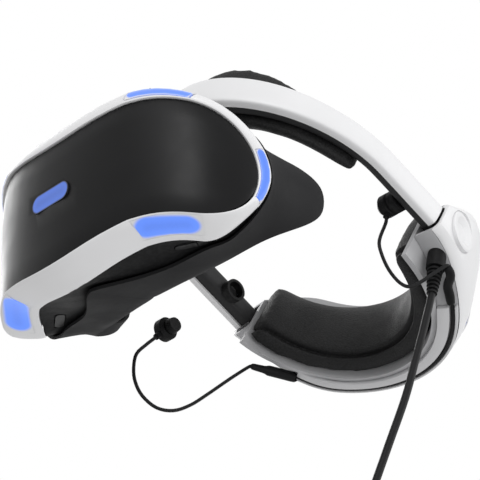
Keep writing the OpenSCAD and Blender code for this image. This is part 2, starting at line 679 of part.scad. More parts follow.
function rear_point(a, n, u) = rear_flat(a) + [0, 0, rear_z(a)] + n * rear_out(a) + u * rear_up(a);
REAR_ROWS = 8;
rear_rows = [for (j = [0 : REAR_ROWS]) sin(90 * (2 * j / REAR_ROWS - 1))];
function rear_section(a) =
    let (slim = (cover_depth - rear_wall) / cover_depth)
    concat(
        [for (v = rear_rows) rear_point(a, -rear_bow(a, v), v * rear_half(a, v))],
        [for (j = [REAR_ROWS : -1 : 0]) let (v = rear_rows[j])
            rear_point(a, -rear_wall - slim * rear_bow(a, v), v * (rear_half(a, v) - rear_wall))]);
rear_angles = [for (i = [0 : REAR_COLS]) mix(REAR_START, 360 - REAR_START, i / REAR_COLS)];
CAP_AT = 109;
cap_d = 23;
cap_u = 3;
cap_t = 3.5;
cap_fit = 0.2;
module on_rear(a, u) {
    translate(rear_point(a, 0, u)) rotate([0, 0, atan2(rear_out(a).y, rear_out(a).x)])
        rotate([0, 90, 0]) children();
}
module at_caps() { for (a = [CAP_AT, 360 - CAP_AT]) on_rear(a, cap_u) children(); }
module rear_shell() {
    color(white) difference() {
        loft([for (a = rear_angles) rear_section(a)]);
        at_caps() translate([0, 0, -8]) cylinder(d = cap_d + 2 * cap_fit, h = 20);
        dial_axis() translate([0, 0, -5]) cylinder(d = dial_d + 2 * dial_gap, h = 20);
    }
}
module side_caps() {
    color(white) at_caps() rotate_extrude()
        polygon([
            [0, -cap_t], [cap_d / 2, -cap_t], [cap_d / 2, 0], [cap_d / 2 - 1, 0.5], [cap_d / 2 - 3, 0.5],
            [5, -1.5], [0, -1.8]]);
}
pad_drop = 7.5;
inner_t = 3;
plate_edge = 1.5;
function plate_low(a) = min(-rear_low(a), -pad_drop - rear_pad_h / 2 - plate_edge);
function plate_top(a) = max(rear_top(a), -pad_drop + rear_pad_h / 2 + plate_edge);
wall_angles = [for (i = [0 : 2 : REAR_COLS]) rear_angles[i]];
function wall_section(a, u, t) = [
    rear_point(a, -cover_depth - seat, u), rear_point(a, -rear_depth + seat, u),
    rear_point(a, -rear_depth + seat, u + t), rear_point(a, -cover_depth - seat, u + t)];
module rear_walls() {
    color([0.55, 0.55, 0.56]) {
        loft([for (a = wall_angles) wall_section(a, -rear_low(a), rear_wall)]);
        loft([for (a = wall_angles) wall_section(a, rear_top(a), -rear_wall)]);
    }
}
function inner_section(a) = [
    for (q = [[0, 0], [0, 0.3], [0, 0.7], [0, 1], [1, 1], [1, 0.7], [1, 0.3], [1, 0]])
        rear_point(a, -rear_depth - seat - q[0] * inner_t, mix(plate_low(a), plate_top(a), q[1]))];
module rear_inner() {
    color([0.55, 0.55, 0.56]) loft([for (a = rear_angles) inner_section(a)]);
}
REAR_PAD_COLS = 40;
function rear_pad_section(i) =
    let (k = 2 * i / REAR_PAD_COLS - 1, a = 180 + (180 - REAR_START) * sin(90 * k))
    let (end = sqrt(1 - pow(k, 10)), h = rear_pad_h / 2 * mix(0.7, 1, end))
    let (t = pad_edge + (rear_pad_t - pad_edge) * mix(0.15, 1, end))
    let (n = -rear_depth - inner_t - 2 * seat)
    concat(
        [for (w = pad_rows) rear_point(a, n - pad_tuck(w), -pad_drop + h * (2 * w - 1))],
        [for (j = [PAD_ROWS : -1 : 0]) let (w = pad_rows[j])
            rear_point(a, n - pad_edge - (t - pad_edge) * pad_swell(w), -pad_drop + h * (2 * w - 1))]);
module rear_pad() {
    color([0.07, 0.07, 0.08]) loft([for (i = [0 : REAR_PAD_COLS]) rear_pad_section(i)]);
}
REAR_LIGHT = [149, 156];
rear_light_u = [-14, 2];
function rear_light_section(a) =
    let (h = rear_low(a), u = [for (k = [0 : 3]) mix(rear_light_u[0], rear_light_u[1], k / 3)])
    concat(
        [for (x = u) rear_point(a, 0.7 - rear_bow(a, x / h), x)],
        [for (k = [3 : -1 : 0]) rear_point(a, seat - rear_bow(a, u[k] / h), u[k])]);
module rear_light(from, to) { loft([for (k = [0 : 4]) rear_light_section(mix(from, to, k / 4))]); }
module rear_lights() {
    color(blue) {
        rear_light(REAR_LIGHT[0], REAR_LIGHT[1]);
        rear_light(360 - REAR_LIGHT[1], 360 - REAR_LIGHT[0]);
    }
}

// Fit dial in the back, with the release button in its middle
dial_gap = 0.8;
dial_depth = 10;
dial_cup = 5;
shaft_r = 4;
shaft_fit = 0.05;
stem_r = 1.6;
notch_d = 3;
button_t = 2.2;
release_travel = 2.5;
dial_z = rear_low_z + 3;
bearing_y = rear_end - rear_depth;
bearing_len = 6;
module dial_axis() { translate([0, rear_reach, dial_z]) rotate([90, 0, 0]) children(); }
plate_lean = 1.4;
shaft_end = rear_reach - bearing_y - seat - slide_gap - plate_lean;
module fit_dial() {
    color([0.75, 0.75, 0.76]) dial_axis() difference() {
        rotate_extrude() polygon([
            [release_d / 2 + slide_gap, 0], [dial_d / 2 - 3, 0], [dial_d / 2, 3], [dial_d / 2, dial_depth],
            [shaft_r, dial_depth], [shaft_r, shaft_end], [stem_r + slide_gap, shaft_end],
            [stem_r + slide_gap, dial_cup], [release_d / 2 + slide_gap, dial_cup]]);
        for (i = [0 : dial_notches - 1]) rotate(360 * i / dial_notches)
            translate([dial_d / 2 + 0.6, 0, -1]) cylinder(d = notch_d, h = dial_depth + 2, $fn = 16);
    }
}
module dial_bearing() {
    color(charcoal) dial_axis() translate([0, 0, rear_reach - bearing_y - bearing_len]) difference() {
        cylinder(r = shaft_r + 4, h = bearing_len);
        translate([0, 0, -1]) cylinder(r = shaft_r + shaft_fit, h = bearing_len + 2);
    }
}
module release_button() {
    color(charcoal) dial_axis() rotate_extrude() polygon([
        [0, 0], [release_d / 2 - 1, 0], [release_d / 2, 1], [release_d / 2, button_t], [stem_r, button_t],
        [stem_r, shaft_end - release_travel], [0, shaft_end - release_travel]]);
}

// Leads: tubes swept along a route, rounded through its points
function spline(p, i, t) =
    let (n = len(p), a = p[max(0, i - 1)], b = p[i], c = p[i + 1], d = p[min(n - 1, i + 2)])
    0.5 * (2 * b + (c - a) * t + (2 * a - 5 * b + 4 * c - d) * t * t + (3 * b - a - 3 * c + d) * t * t * t);
function rounded(p, m) = concat(
    [for (i = [0 : len(p) - 2], k = [0 : m - 1]) spline(p, i, k / m)],
    [p[len(p) - 1]]);
function heading(p, i) = unit(p[min(len(p) - 1, i + 1)] - p[max(0, i - 1)]);
function square_to(v, t) = unit(v - (v * t) * t);
function sides_of(p, first) = [for (i = 0, v = square_to(first, heading(p, 0)); i < len(p);
    i = i + 1, v = i < len(p) ? square_to(v, heading(p, i)) : v) v];
module tube(p, d, sides, first = [1, 0, 0]) {
    side = sides_of(p, first);
    loft([for (i = [0 : len(p) - 1]) let (b = cross(heading(p, i), side[i]))
        [for (j = [0 : sides - 1]) let (a = 360 * j / sides)
            p[i] + d / 2 * (cos(a) * side[i] + sin(a) * b)]]);
}
module along(from, to) {
    d = to - from;
    translate(from) rotate([0, acos(d.z / norm(d)), atan2(d.y, d.x)]) children();
}
black = [0.06, 0.06, 0.065];
CORD_SIDES = 8;

// Earbuds: the left one is parked in its socket, the right one hangs free on its cord
bud_r = 6.5;
bud_len = 9;
bud_neck = 1.8;
bud_tip = socket_w - 0.6;
module bud_body() {
    rotate_extrude() polygon([
        [0, -bud_len], [bud_r - 2.5, -bud_len], [bud_r, -bud_len + 2.5], [bud_r, -2], [bud_r - 2, -0.4],
        [bud_tip_r - 0.8, -0.4], [bud_tip_r, 1], [bud_tip_r - 0.6, bud_tip], [0, bud_tip]]);
}
module bud(at, cord_end) {
    root = at - [bud_len / 2, 0, 0];
    color(black) {
        translate(at) rotate([0, 90, 0]) bud_body();
        along(cord_end, root) cylinder(r = bud_neck, h = norm(root - cord_end));
    }
}
left_bud = arm_end + [-socket_x, 0, 0] - socket_back * band_back + socket_z * band_up;
left_cord_top = left_bud + [-bud_len / 2, -2, -8];
right_bud = [-62, 44, -4];
right_cord_end = [-66, 37, -11];
module earbud_left() { bud(left_bud, left_cord_top); }
module earbud_right() { bud(right_bud, right_cord_end); }
right_cord_route = [
    [-66, 107, -6], [-66, 104, -8], [-66, 91, -19], [-66, 73, -35], [-66, 61, -45], [-66, 49, -52],
    [-66, 37, -54], [-66, 27, -50], [-66, 22, -43], [-66, 21, -35], [-66, 23, -26], [-66, 30, -18],
    [-66, 34, -14], right_cord_end];
module right_cord() { color(black) tube(rounded(right_cord_route, 2), bud_cord_d, CORD_SIDES); }

// Under the rear half the earbud lead runs between two rails, from one moulded boot to the other
LEAD_SPAN = [128, 236];
LEAD_COLS = 26;
lead_n = -rear_depth + 8.5;
function under(a, n, drop) = rear_point(a, n, -rear_low(a) - seat - drop);
function lead_at(a) = under(a, lead_n, bud_cord_d / 2);
boot_r = 3;
module boot(from, to) { along(from, to) cylinder(r1 = boot_r, r2 = boot_r - 1, h = norm(to - from)); }
module under_lead() {
    color(black) tube(
        [for (i = [0 : LEAD_COLS]) lead_at(mix(LEAD_SPAN[0], LEAD_SPAN[1], i / LEAD_COLS))],
        bud_cord_d, CORD_SIDES);
}
BOOT_AT = 109;
boot_drop = 10.5;
function boot_at(a) = under(a, lead_n, boot_r);
boot_route = [
    under(BOOT_AT, -2, boot_drop), under(BOOT_AT + 5, -3.6, boot_drop - 3),
    boot_at(BOOT_AT + 11), boot_at(BOOT_AT + 15), boot_at(LEAD_SPAN[0])];
module lead_boots() {
    color(black) {
        tube(rounded(boot_route, 3), 2 * boot_r - 1, CORD_SIDES + 4);
        boot(under(LEAD_SPAN[1], lead_n, boot_r), right_cord_route[0]);
    }
}
cord_gap = 0.8;
left_cord_end = boot_route[0] - cord_gap * unit(boot_route[1] - boot_route[0]);
left_cord_route = [
    left_cord_top, left_cord_top + [0, -0.7, -4], [61, 85, 12], [63, 84, 3], [64, 88, -6], [65, 95, -12],
    [67, 101, -13], [71, 106.5, -9], [75.5, 111.5, -4], left_cord_end];
module left_cord() { color(black) tube(rounded(left_cord_route, 2), bud_cord_d, CORD_SIDES); }
RAIL_SPAN = [LEAD_SPAN[0] + 2, LEAD_SPAN[1] - 2];
RAIL_COLS = 20;
rail_h = 2.4;
rail_gap = 0.6;
rail_in = -rear_depth + 0.2;
rail_out = -cover_depth - 0.4;
function rail_section(a, n, w) = [
    under(a, n, 0), under(a, n + w, 0), under(a, n + w, rail_h), under(a, n, rail_h)];
module rail(n, w) {
    loft([for (i = [0 : RAIL_COLS]) rail_section(mix(RAIL_SPAN[0], RAIL_SPAN[1], i / RAIL_COLS), n, w)]);
}
module lead_rails() {
    color([0.62, 0.62, 0.63]) {
        rail(rail_in, lead_n - bud_cord_d / 2 - rail_gap - rail_in);
        rail(rail_out, lead_n + bud_cord_d / 2 + rail_gap - rail_out);
    }
}

// Main cable: a ribbed gland, a free stretch, a tied coil of the rest and the plug
GLAND_AT = 108;
gland_n = -11;
gland_in = 3.5;
gland_top = rear_point(GLAND_AT, gland_n, gland_in - rear_low(GLAND_AT));
gland_end = gland_top + [0, -6.5, -28.5];
gland_r = 5.2;
GLAND_RIBS = 7;
rib = 1.2;
gland_len = norm(gland_end - gland_top);
gland_head = gland_len - 2 * rib * GLAND_RIBS;
module cable_gland() {
    color(black) along(gland_top, gland_end) rotate_extrude() polygon(concat(
        [[0, 0], [gland_r - 1.5, 0], [gland_r, 1.5], [gland_r, gland_head]],
        [for (i = [0 : GLAND_RIBS - 1]) let (z = gland_head + 2 * rib * i, r = gland_r - 0.8 - 0.25 * i)
            each [[r - 0.9, z], [r - 0.9, z + rib], [r, z + rib], [r, z + 2 * rib]]],
        [[0, gland_len]]));
}
coil_gap = 1.1;
coil_pitch = cable_d + coil_gap;
coil_in = (coil_d + cable_d) / 2;
coil_out = coil_in + coil_pitch * coil_turns;
COIL_LAYERS = 4;
COIL_STEPS = 24;
COIL_CLIMB = COIL_STEPS / 2;
COIL_START = 150;
COIL_SHORT = 10;
coil_layer = coil_turns * COIL_STEPS + COIL_CLIMB;
coil_half_w = coil_pitch * (COIL_LAYERS - 1) / 2;
cable_end = gland_end + [-4, -53, -142];
function coil_way(a) = [0, -sin(a), cos(a)];
coil_mid = cable_end + cable_d * coil_way(COIL_START) - coil_out * [0, cos(COIL_START), sin(COIL_START)]
    + [coil_half_w, 0, 0];
function coil_at(i) =
    let (layer = floor(i / coil_layer), j = i - layer * coil_layer, a = COIL_START + 360 * i / COIL_STEPS)
    let (in = coil_turns * COIL_STEPS, share = min(1, j / in), climb = clamp01((j - in) / COIL_CLIMB))
    let (lap = coil_turns * (layer % 2 == 0 ? 1 - share : share), r = coil_in + coil_pitch * lap)
    coil_mid + [coil_pitch * (layer + climb) - coil_half_w, r * cos(a), r * sin(a)];
coil_count = COIL_LAYERS * coil_layer - COIL_CLIMB - COIL_SHORT;
coil_loops = [for (i = [0 : coil_count]) coil_at(i)];
coil_tail = coil_loops[coil_count] - [0, 0, cable_d];
coil_path = concat([cable_end], coil_loops, [coil_tail]);
coil_least = min([for (i = [0 : coil_count - COIL_STEPS / 2], j = [i + COIL_STEPS / 2 : coil_count])
    norm(coil_loops[i] - coil_loops[j])]) - cable_d;
cable_route = [
    gland_end, gland_end + [0, -4.5, -14], gland_end + [0, -14.6, -43], gland_end + [0, -24, -69],
    gland_end + [-2, -35, -97], gland_end + [-4, -46, -125], cable_end];
module main_cable() { color(black) tube(rounded(cable_route, 5), cable_d, CORD_SIDES); }
module cable_coil() {
    echo(coil_gap_mm = coil_least);
    color(black) tube(coil_path, cable_d, 6);
}
tie_w = 8;
tie_t = 1.2;
module tie_block(grow, w) {
    span_box(about(coil_mid.x, coil_half_w + cable_d / 2 + grow), about(coil_mid.y, w / 2),
        [coil_mid.z + coil_in - cable_d / 2 - 0.5 - grow, coil_mid.z + coil_out + cable_d / 2 + grow]);
}
module cable_tie() {
    color(rubber) difference() {
        tie_block(tie_t + seat, tie_w);
        tie_block(seat, tie_w + 2);
    }
}
plug_w = 22;
plug_h = 11;
plug_len = 30;
plug_neck = 12;
module cable_plug() {
    color(black) translate(coil_tail) rotate([180, 0, 90]) {
        cylinder(r1 = cable_d / 2 + 0.8, r2 = plug_h / 2 - 1, h = plug_neck);
        translate([0, 0, plug_neck - 1]) linear_extrude(plug_len) pill(plug_w, plug_h);
        translate([0, 0, plug_neck + plug_len - 2]) linear_extrude(10) pill(plug_w - 7, plug_h - 6);
    }
}

faceplate();
bezel();
front_light();
top_lights();
bottom_lights();
side_lights();
front_frame();
visor_housing();
light_shield();
lens_mask();
proximity_window();
lens_barrel_left();
lens_barrel_right();
lens_left();
lens_right();
display_panel();
display_tray();
main_board();
slide_carriage();
volume_rocker();
power_key();
visor_release();
band_shell();
band_liner();
brow_bracket();
forehead_pad();
strap_left();
strap_right();
bud_socket_left();
bud_socket_right();
rear_shell();
rear_walls();
side_caps();
rear_inner();
rear_pad();
rear_lights();
fit_dial();
dial_bearing();
release_button();
under_lead();
lead_boots();
lead_rails();
earbud_left();
earbud_right();
left_cord();
right_cord();
cable_gland();
main_cable();
cable_coil();
cable_tie();
cable_plug();
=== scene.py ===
"""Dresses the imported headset: cords, cushions, glowing windows, boots and finishes."""

import logging
import math
from dataclasses import dataclass
from enum import Enum

import bmesh
import bpy
import numpy as np
from mathutils import Matrix, Vector


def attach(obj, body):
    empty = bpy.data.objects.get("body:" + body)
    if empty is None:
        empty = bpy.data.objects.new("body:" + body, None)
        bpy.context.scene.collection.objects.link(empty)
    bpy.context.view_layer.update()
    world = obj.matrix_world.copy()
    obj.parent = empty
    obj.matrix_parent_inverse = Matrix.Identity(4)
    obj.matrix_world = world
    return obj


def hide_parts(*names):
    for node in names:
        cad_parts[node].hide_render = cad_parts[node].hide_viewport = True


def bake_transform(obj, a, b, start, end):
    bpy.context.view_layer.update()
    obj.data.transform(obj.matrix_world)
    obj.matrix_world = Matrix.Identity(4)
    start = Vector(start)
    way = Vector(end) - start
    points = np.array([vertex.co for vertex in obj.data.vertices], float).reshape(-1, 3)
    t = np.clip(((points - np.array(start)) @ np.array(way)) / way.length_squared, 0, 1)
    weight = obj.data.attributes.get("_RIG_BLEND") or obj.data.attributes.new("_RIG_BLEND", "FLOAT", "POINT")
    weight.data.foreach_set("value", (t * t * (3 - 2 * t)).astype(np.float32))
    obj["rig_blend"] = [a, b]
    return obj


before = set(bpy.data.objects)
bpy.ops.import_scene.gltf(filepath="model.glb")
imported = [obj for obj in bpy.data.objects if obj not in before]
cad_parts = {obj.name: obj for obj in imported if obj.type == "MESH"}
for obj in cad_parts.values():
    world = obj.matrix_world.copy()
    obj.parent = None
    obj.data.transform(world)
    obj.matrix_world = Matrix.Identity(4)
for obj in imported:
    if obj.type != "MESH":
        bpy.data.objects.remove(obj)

LOG = logging.getLogger("headset")
MM = 0.001
BUMP_STRENGTH = 0.6
DUST_GREY = 0.45
DUST_SHARE = 0.4
Colour = tuple[float, float, float]
Point = tuple[float, float, float]


class Body(Enum):
    """The bodies that new pieces ride on."""

    HEADBAND = "headband"
    VISOR = "visor"
    REAR = "rear"


class Side(Enum):
    """The wearer's left is +X."""

    LEFT = 1
    RIGHT = -1


class Graph:
    """Adds and joins the nodes of one material or node group."""

    def __init__(self, tree: bpy.types.NodeTree) -> None:
        """Keep the tree that the nodes go into."""
        self.tree = tree

    def add(self, kind: str, **settings: object) -> bpy.types.Node:
        """Add one node.

        Args:
            kind: The node's Blender type.
            settings: Properties of the node.

        Returns:
            The new node.
        """
        node = self.tree.nodes.new(kind)
        for key, value in settings.items():
            setattr(node, key, value)
        return node

    def join(self, source: bpy.types.NodeSocket, target: bpy.types.NodeSocket) -> None:
        """Link an output to an input."""
        self.tree.links.new(source, target)

    def math(self, operation: str, a: object, b: object = None) -> bpy.types.NodeSocket:
        """Add a Math node.

        Args:
            operation: The node's operation.
            a: First input, a socket or a number.
            b: Second input, a socket, a number or nothing.

        Returns:
            The node's output.
        """
        node = self.add("ShaderNodeMath", operation=operation)
        for socket, value in zip(node.inputs, (a, b)):
            if isinstance(value, bpy.types.NodeSocket):
                self.join(value, socket)
            elif value is not None:
                socket.default_value = value
        return node.outputs[0]

    def ramp(self, value: bpy.types.NodeSocket, low: float, high: float,
             to_low: float = 0.0, to_high: float = 1.0, soft: bool = True) -> bpy.types.NodeSocket:
        """Map a value from one range to another.

        Args:
            value: The socket to map.
            low: Value that becomes to_low.
            high: Value that becomes to_high.
            to_low: Result at low.
            to_high: Result at high.
            soft: Ease in and out, where True.

        Returns:
            The mapped socket.
        """
        kind = "SMOOTHSTEP" if soft else "LINEAR"
        node = self.add("ShaderNodeMapRange", interpolation_type=kind)
        self.join(value, node.inputs["Value"])
        node.inputs["From Min"].default_value = low
        node.inputs["From Max"].default_value = high
        node.inputs["To Min"].default_value = to_low
        node.inputs["To Max"].default_value = to_high
        return node.outputs["Result"]

    def mix(self, factor: object, a: object, b: object) -> bpy.types.NodeSocket:
        """Mix two colours.

        Args:
            factor: Share of the second colour, a socket or a number.
            a: First colour, a socket or three numbers.
            b: Second colour, a socket or three numbers.

        Returns:
            The mixed colour.
        """
        node = self.add("ShaderNodeMix", data_type="RGBA")
        for socket, value in zip((node.inputs[0], node.inputs[6], node.inputs[7]), (factor, a, b)):
            if isinstance(value, bpy.types.NodeSocket):
                self.join(value, socket)
            elif isinstance(value, tuple):
                socket.default_value = (*value, 1.0)
            else:
                socket.default_value = value
        return node.outputs[2]

    def noise(self, place: bpy.types.NodeSocket, scale: object,
              detail: float = 2.0) -> bpy.types.NodeSocket:
        """Add a Noise texture.

        Args:
            place: Coordinates.
            scale: Its scale, a socket or a number.
            detail: Its octaves.

        Returns:
            The noise value.
        """
        node = self.add("ShaderNodeTexNoise")
        self.join(place, node.inputs["Vector"])
        node.inputs["Detail"].default_value = detail
        if isinstance(scale, bpy.types.NodeSocket):
            self.join(scale, node.inputs["Scale"])
        else:
            node.inputs["Scale"].default_value = scale
        return node.outputs["Fac"]

    def place(self) -> bpy.types.NodeSocket:
        """Give the piece's Object coordinates."""
        return self.add("ShaderNodeTexCoord").outputs["Object"]


class Effects:
    """Shader node groups that several finishes share."""

    mottle_scale: float = 38.0
    warp_scale: float = 300.0
    warp: float = 0.0011
    pebble_edge: float = 0.28
    # Width of the painted shade along the grain's creases.
    crease_edge: float = 0.12
    chip_scale: float = 420.0
    speck_scale: float = 160.0

    @staticmethod
    def _start(name: str, inputs: dict[str, str], outputs: dict[str, str]) -> tuple:
        """Start a node group.

        Args:
            name: The group's name.
            inputs: Name and socket type of each input.
            outputs: Name and socket type of each output.

        Returns:
            The group, its graph, its input sockets and its output sockets.
        """
        group = bpy.data.node_groups.new(name, "ShaderNodeTree")
        for label, kind in inputs.items():
            group.interface.new_socket(label, in_out="INPUT", socket_type=kind)
        for label, kind in outputs.items():
            group.interface.new_socket(label, in_out="OUTPUT", socket_type=kind)
        graph = Graph(group)
        given = graph.add("NodeGroupInput").outputs
        return group, graph, given, graph.add("NodeGroupOutput").inputs

    @classmethod
    def grain(cls) -> bpy.types.NodeTree:
        """Give the spark-eroded grain of moulded plastic, with a broad mottle.

        Returns:
            The node group.
        """
        name = "moulded_grain"
        if name in bpy.data.node_groups:
            return bpy.data.node_groups[name]
        group, graph, given, out = cls._start(
            name, {"Scale": "NodeSocketFloat"},
            {"Height": "NodeSocketFloat", "Mottle": "NodeSocketFloat"})
        place = graph.place()
        fine = graph.noise(place, given["Scale"], 3.0)
        broad = graph.noise(place, cls.mottle_scale, 3.0)
        graph.join(fine, out["Height"])
        graph.join(graph.ramp(broad, 0.3, 0.7), out["Mottle"])
        return group

    @classmethod
    def leather(cls) -> bpy.types.NodeTree:
        """Give the pebbled grain of a soft synthetic leather, and a mask of painted shade in its creases.

        Returns:
            The node group.
        """
        name = "pebble_grain"
        if name in bpy.data.node_groups:
            return bpy.data.node_groups[name]
        group, graph, given, out = cls._start(
            name, {"Scale": "NodeSocketFloat"},
            {"Height": "NodeSocketFloat", "Crease": "NodeSocketFloat"})
        place = graph.place()
        warp = graph.add("ShaderNodeTexNoise")
        graph.join(place, warp.inputs["Vector"])
        warp.inputs["Scale"].default_value = cls.warp_scale
        bent = graph.add("ShaderNodeVectorMath", operation="MULTIPLY_ADD")
        graph.join(warp.outputs["Color"], bent.inputs[0])
        bent.inputs[1].default_value = (cls.warp, cls.warp, cls.warp)
        graph.join(place, bent.inputs[2])
        cells = graph.add("ShaderNodeTexVoronoi", feature="DISTANCE_TO_EDGE")
        graph.join(bent.outputs[0], cells.inputs["Vector"])
        graph.join(given["Scale"], cells.inputs["Scale"])
        edge = cells.outputs["Distance"]
        graph.join(graph.ramp(edge, 0.0, cls.pebble_edge), out["Height"])
        # Painted shade: a mask that is 1 in the creases between the pebbles and fades out over crease_edge.
        flat = graph.ramp(edge, 0.0, cls.crease_edge)
        graph.join(graph.math("SUBTRACT", 1.0, flat), out["Crease"])
        return group

    @classmethod
    def wear(cls) -> bpy.types.NodeTree:
        """Give a mask of rubbed edges, broken up by noise.

        Returns:
            The node group.
        """
        name = "edge_wear"
        if name in bpy.data.node_groups:
            return bpy.data.node_groups[name]
        group, graph, given, out = cls._start(
            name, {"Amount": "NodeSocketFloat"}, {"Mask": "NodeSocketFloat"})
        sharp = graph.add("ShaderNodeNewGeometry").outputs["Pointiness"]
        edge = graph.ramp(sharp, 0.52, 0.62)
        broken = graph.ramp(graph.noise(graph.place(), cls.chip_scale, 4.0), 0.35, 0.7)
        chipped = graph.math("MULTIPLY", edge, broken)
        graph.join(graph.math("MULTIPLY", chipped, given["Amount"]), out["Mask"])
        return group

    @classmethod
    def dust(cls) -> bpy.types.NodeTree:
        """Give a faint mask of dust on faces that look up.

        Returns:
            The node group.
        """
        name = "settled_dust"
        if name in bpy.data.node_groups:
            return bpy.data.node_groups[name]
        group, graph, given, out = cls._start(
            name, {"Amount": "NodeSocketFloat"}, {"Mask": "NodeSocketFloat"})
        facing = graph.add("ShaderNodeSeparateXYZ")
        graph.join(graph.add("ShaderNodeNewGeometry").outputs["Normal"], facing.inputs[0])
        upward = graph.ramp(facing.outputs["Z"], 0.2, 1.0)
        spots = graph.ramp(graph.noise(graph.place(), cls.speck_scale, 5.0), 0.4, 0.8)
        settled = graph.math("MULTIPLY", upward, spots)
        graph.join(graph.math("MULTIPLY", settled, given["Amount"]), out["Mask"])
        return group


class Finish:
    """What every finish shares: its material, and the way it is put on a piece."""

    name: str

    def build(self) -> bpy.types.Material:
        """Make the material, once.

        Returns:
            The finish's material.
        """
        made = bpy.data.materials.get(self.name)
        if made is None:
            made = bpy.data.materials.new(self.name)
            made.use_nodes = True
            graph = Graph(made.node_tree)
            self.draw(graph, made.node_tree.nodes["Principled BSDF"])
        return made

    def draw(self, graph: Graph, shader: bpy.types.Node) -> None:
        """Draw the finish's nodes.

        Args:
            graph: The material's graph.
            shader: Its Principled BSDF.
        """
        raise NotImplementedError

    def put_on(self, piece: bpy.types.Object) -> None:
        """Make this the piece's only material."""
        piece.data.materials.clear()
        piece.data.materials.append(self.build())

    @staticmethod
    def effect(graph: Graph, group: bpy.types.NodeTree, **values: float) -> bpy.types.Node:
        """Place a shared effect in the material.

        Args:
            graph: The material's graph.
            group: The effect's node group.
            values: Its inputs.

        Returns:
            The group node.
        """
        node = graph.add("ShaderNodeGroup", node_tree=group)
        for key, value in values.items():
            node.inputs[key].default_value = value
        return node

    @staticmethod
    def bump(graph: Graph, shader: bpy.types.Node, height: bpy.types.NodeSocket,
             depth: float) -> None:
        """Raise the surface by a height.

        Args:
            graph: The material's graph.
            shader: Its Principled BSDF.
            height: The height's socket.
            depth: Height of the relief in metres.
        """
        node = graph.add("ShaderNodeBump")
        node.inputs["Strength"].default_value = BUMP_STRENGTH
        node.inputs["Distance"].default_value = depth
        graph.join(height, node.inputs["Height"])
        graph.join(node.outputs["Normal"], shader.inputs["Normal"])


@dataclass(frozen=True)
class Moulding(Finish):
    """Moulded plastic or rubber: fine grain, mottled gloss, rubbed edges and a little dust."""

    name: str
    colour: Colour
    worn: Colour
    gloss: tuple[float, float] = (0.38, 0.5)
    grain: float = 2600.0
    depth: float = 0.00006
    wear: float = 0.4
    dust: float = 0.12
    vary: float = 0.06
    shine: float = 0.5

    def draw(self, graph: Graph, shader: bpy.types.Node) -> None:
        """Draw colour, gloss and relief.

        Args:
            graph: The material's graph.
            shader: Its Principled BSDF.
        """
        grain = self.effect(graph, Effects.grain(), Scale=self.grain)
        wear = self.effect(graph, Effects.wear(), Amount=self.wear)
        dust = self.effect(graph, Effects.dust(), Amount=self.dust)
        darker = tuple(c * (1 - self.vary) for c in self.colour)
        lighter = tuple(min(1.0, c * (1 + self.vary)) for c in self.colour)
        body = graph.mix(grain.outputs["Mottle"], darker, lighter)
        rubbed = graph.mix(wear.outputs["Mask"], body, self.worn)
        grey = tuple((1 - DUST_SHARE) * c + DUST_SHARE * DUST_GREY for c in self.colour)
        graph.join(graph.mix(dust.outputs["Mask"], rubbed, grey), shader.inputs["Base Color"])
        rough = graph.ramp(grain.outputs["Mottle"], 0.0, 1.0, *self.gloss)
        graph.join(rough, shader.inputs["Roughness"])
        self.bump(graph, shader, grain.outputs["Height"], self.depth)
        shader.inputs["Specular IOR Level"].default_value = self.shine


@dataclass(frozen=True)
class Leather(Finish):
    """Soft synthetic leather: pebbled grain, with painted shade darkening its creases."""

    name: str
    colour: Colour
    # Colour of the painted shade in the grain's creases.
    crease: Colour
    scale: float = 720.0
    fine: float = 2200.0
    depth: float = 0.00022
    gloss: tuple[float, float] = (0.5, 0.62)
    shine: float = 0.22
    wear: float = 0.25
    lift: float = 1.35
    rubbed: float = 2.2

    def draw(self, graph: Graph, shader: bpy.types.Node) -> None:
        """Draw colour with painted shade in the creases, gloss and grain.

        Args:
            graph: The material's graph.
            shader: Its Principled BSDF.
        """
        pebble = self.effect(graph, Effects.leather(), Scale=self.scale)
        grain = self.effect(graph, Effects.grain(), Scale=self.fine)
        wear = self.effect(graph, Effects.wear(), Amount=self.wear)
        lit = tuple(c * self.lift for c in self.colour)
        rubbed = tuple(c * self.rubbed for c in self.colour)
        body = graph.mix(grain.outputs["Mottle"], self.colour, lit)
        # Painted shade: the crease colour laid into the grain's creases.
        crease_shaded = graph.mix(pebble.outputs["Crease"], body, self.crease)
        graph.join(graph.mix(wear.outputs["Mask"], crease_shaded, rubbed), shader.inputs["Base Color"])
        rough = graph.ramp(grain.outputs["Mottle"], 0.0, 1.0, *self.gloss)
        graph.join(rough, shader.inputs["Roughness"])
        self.bump(graph, shader, pebble.outputs["Height"], self.depth)
        shader.inputs["Specular IOR Level"].default_value = self.shine


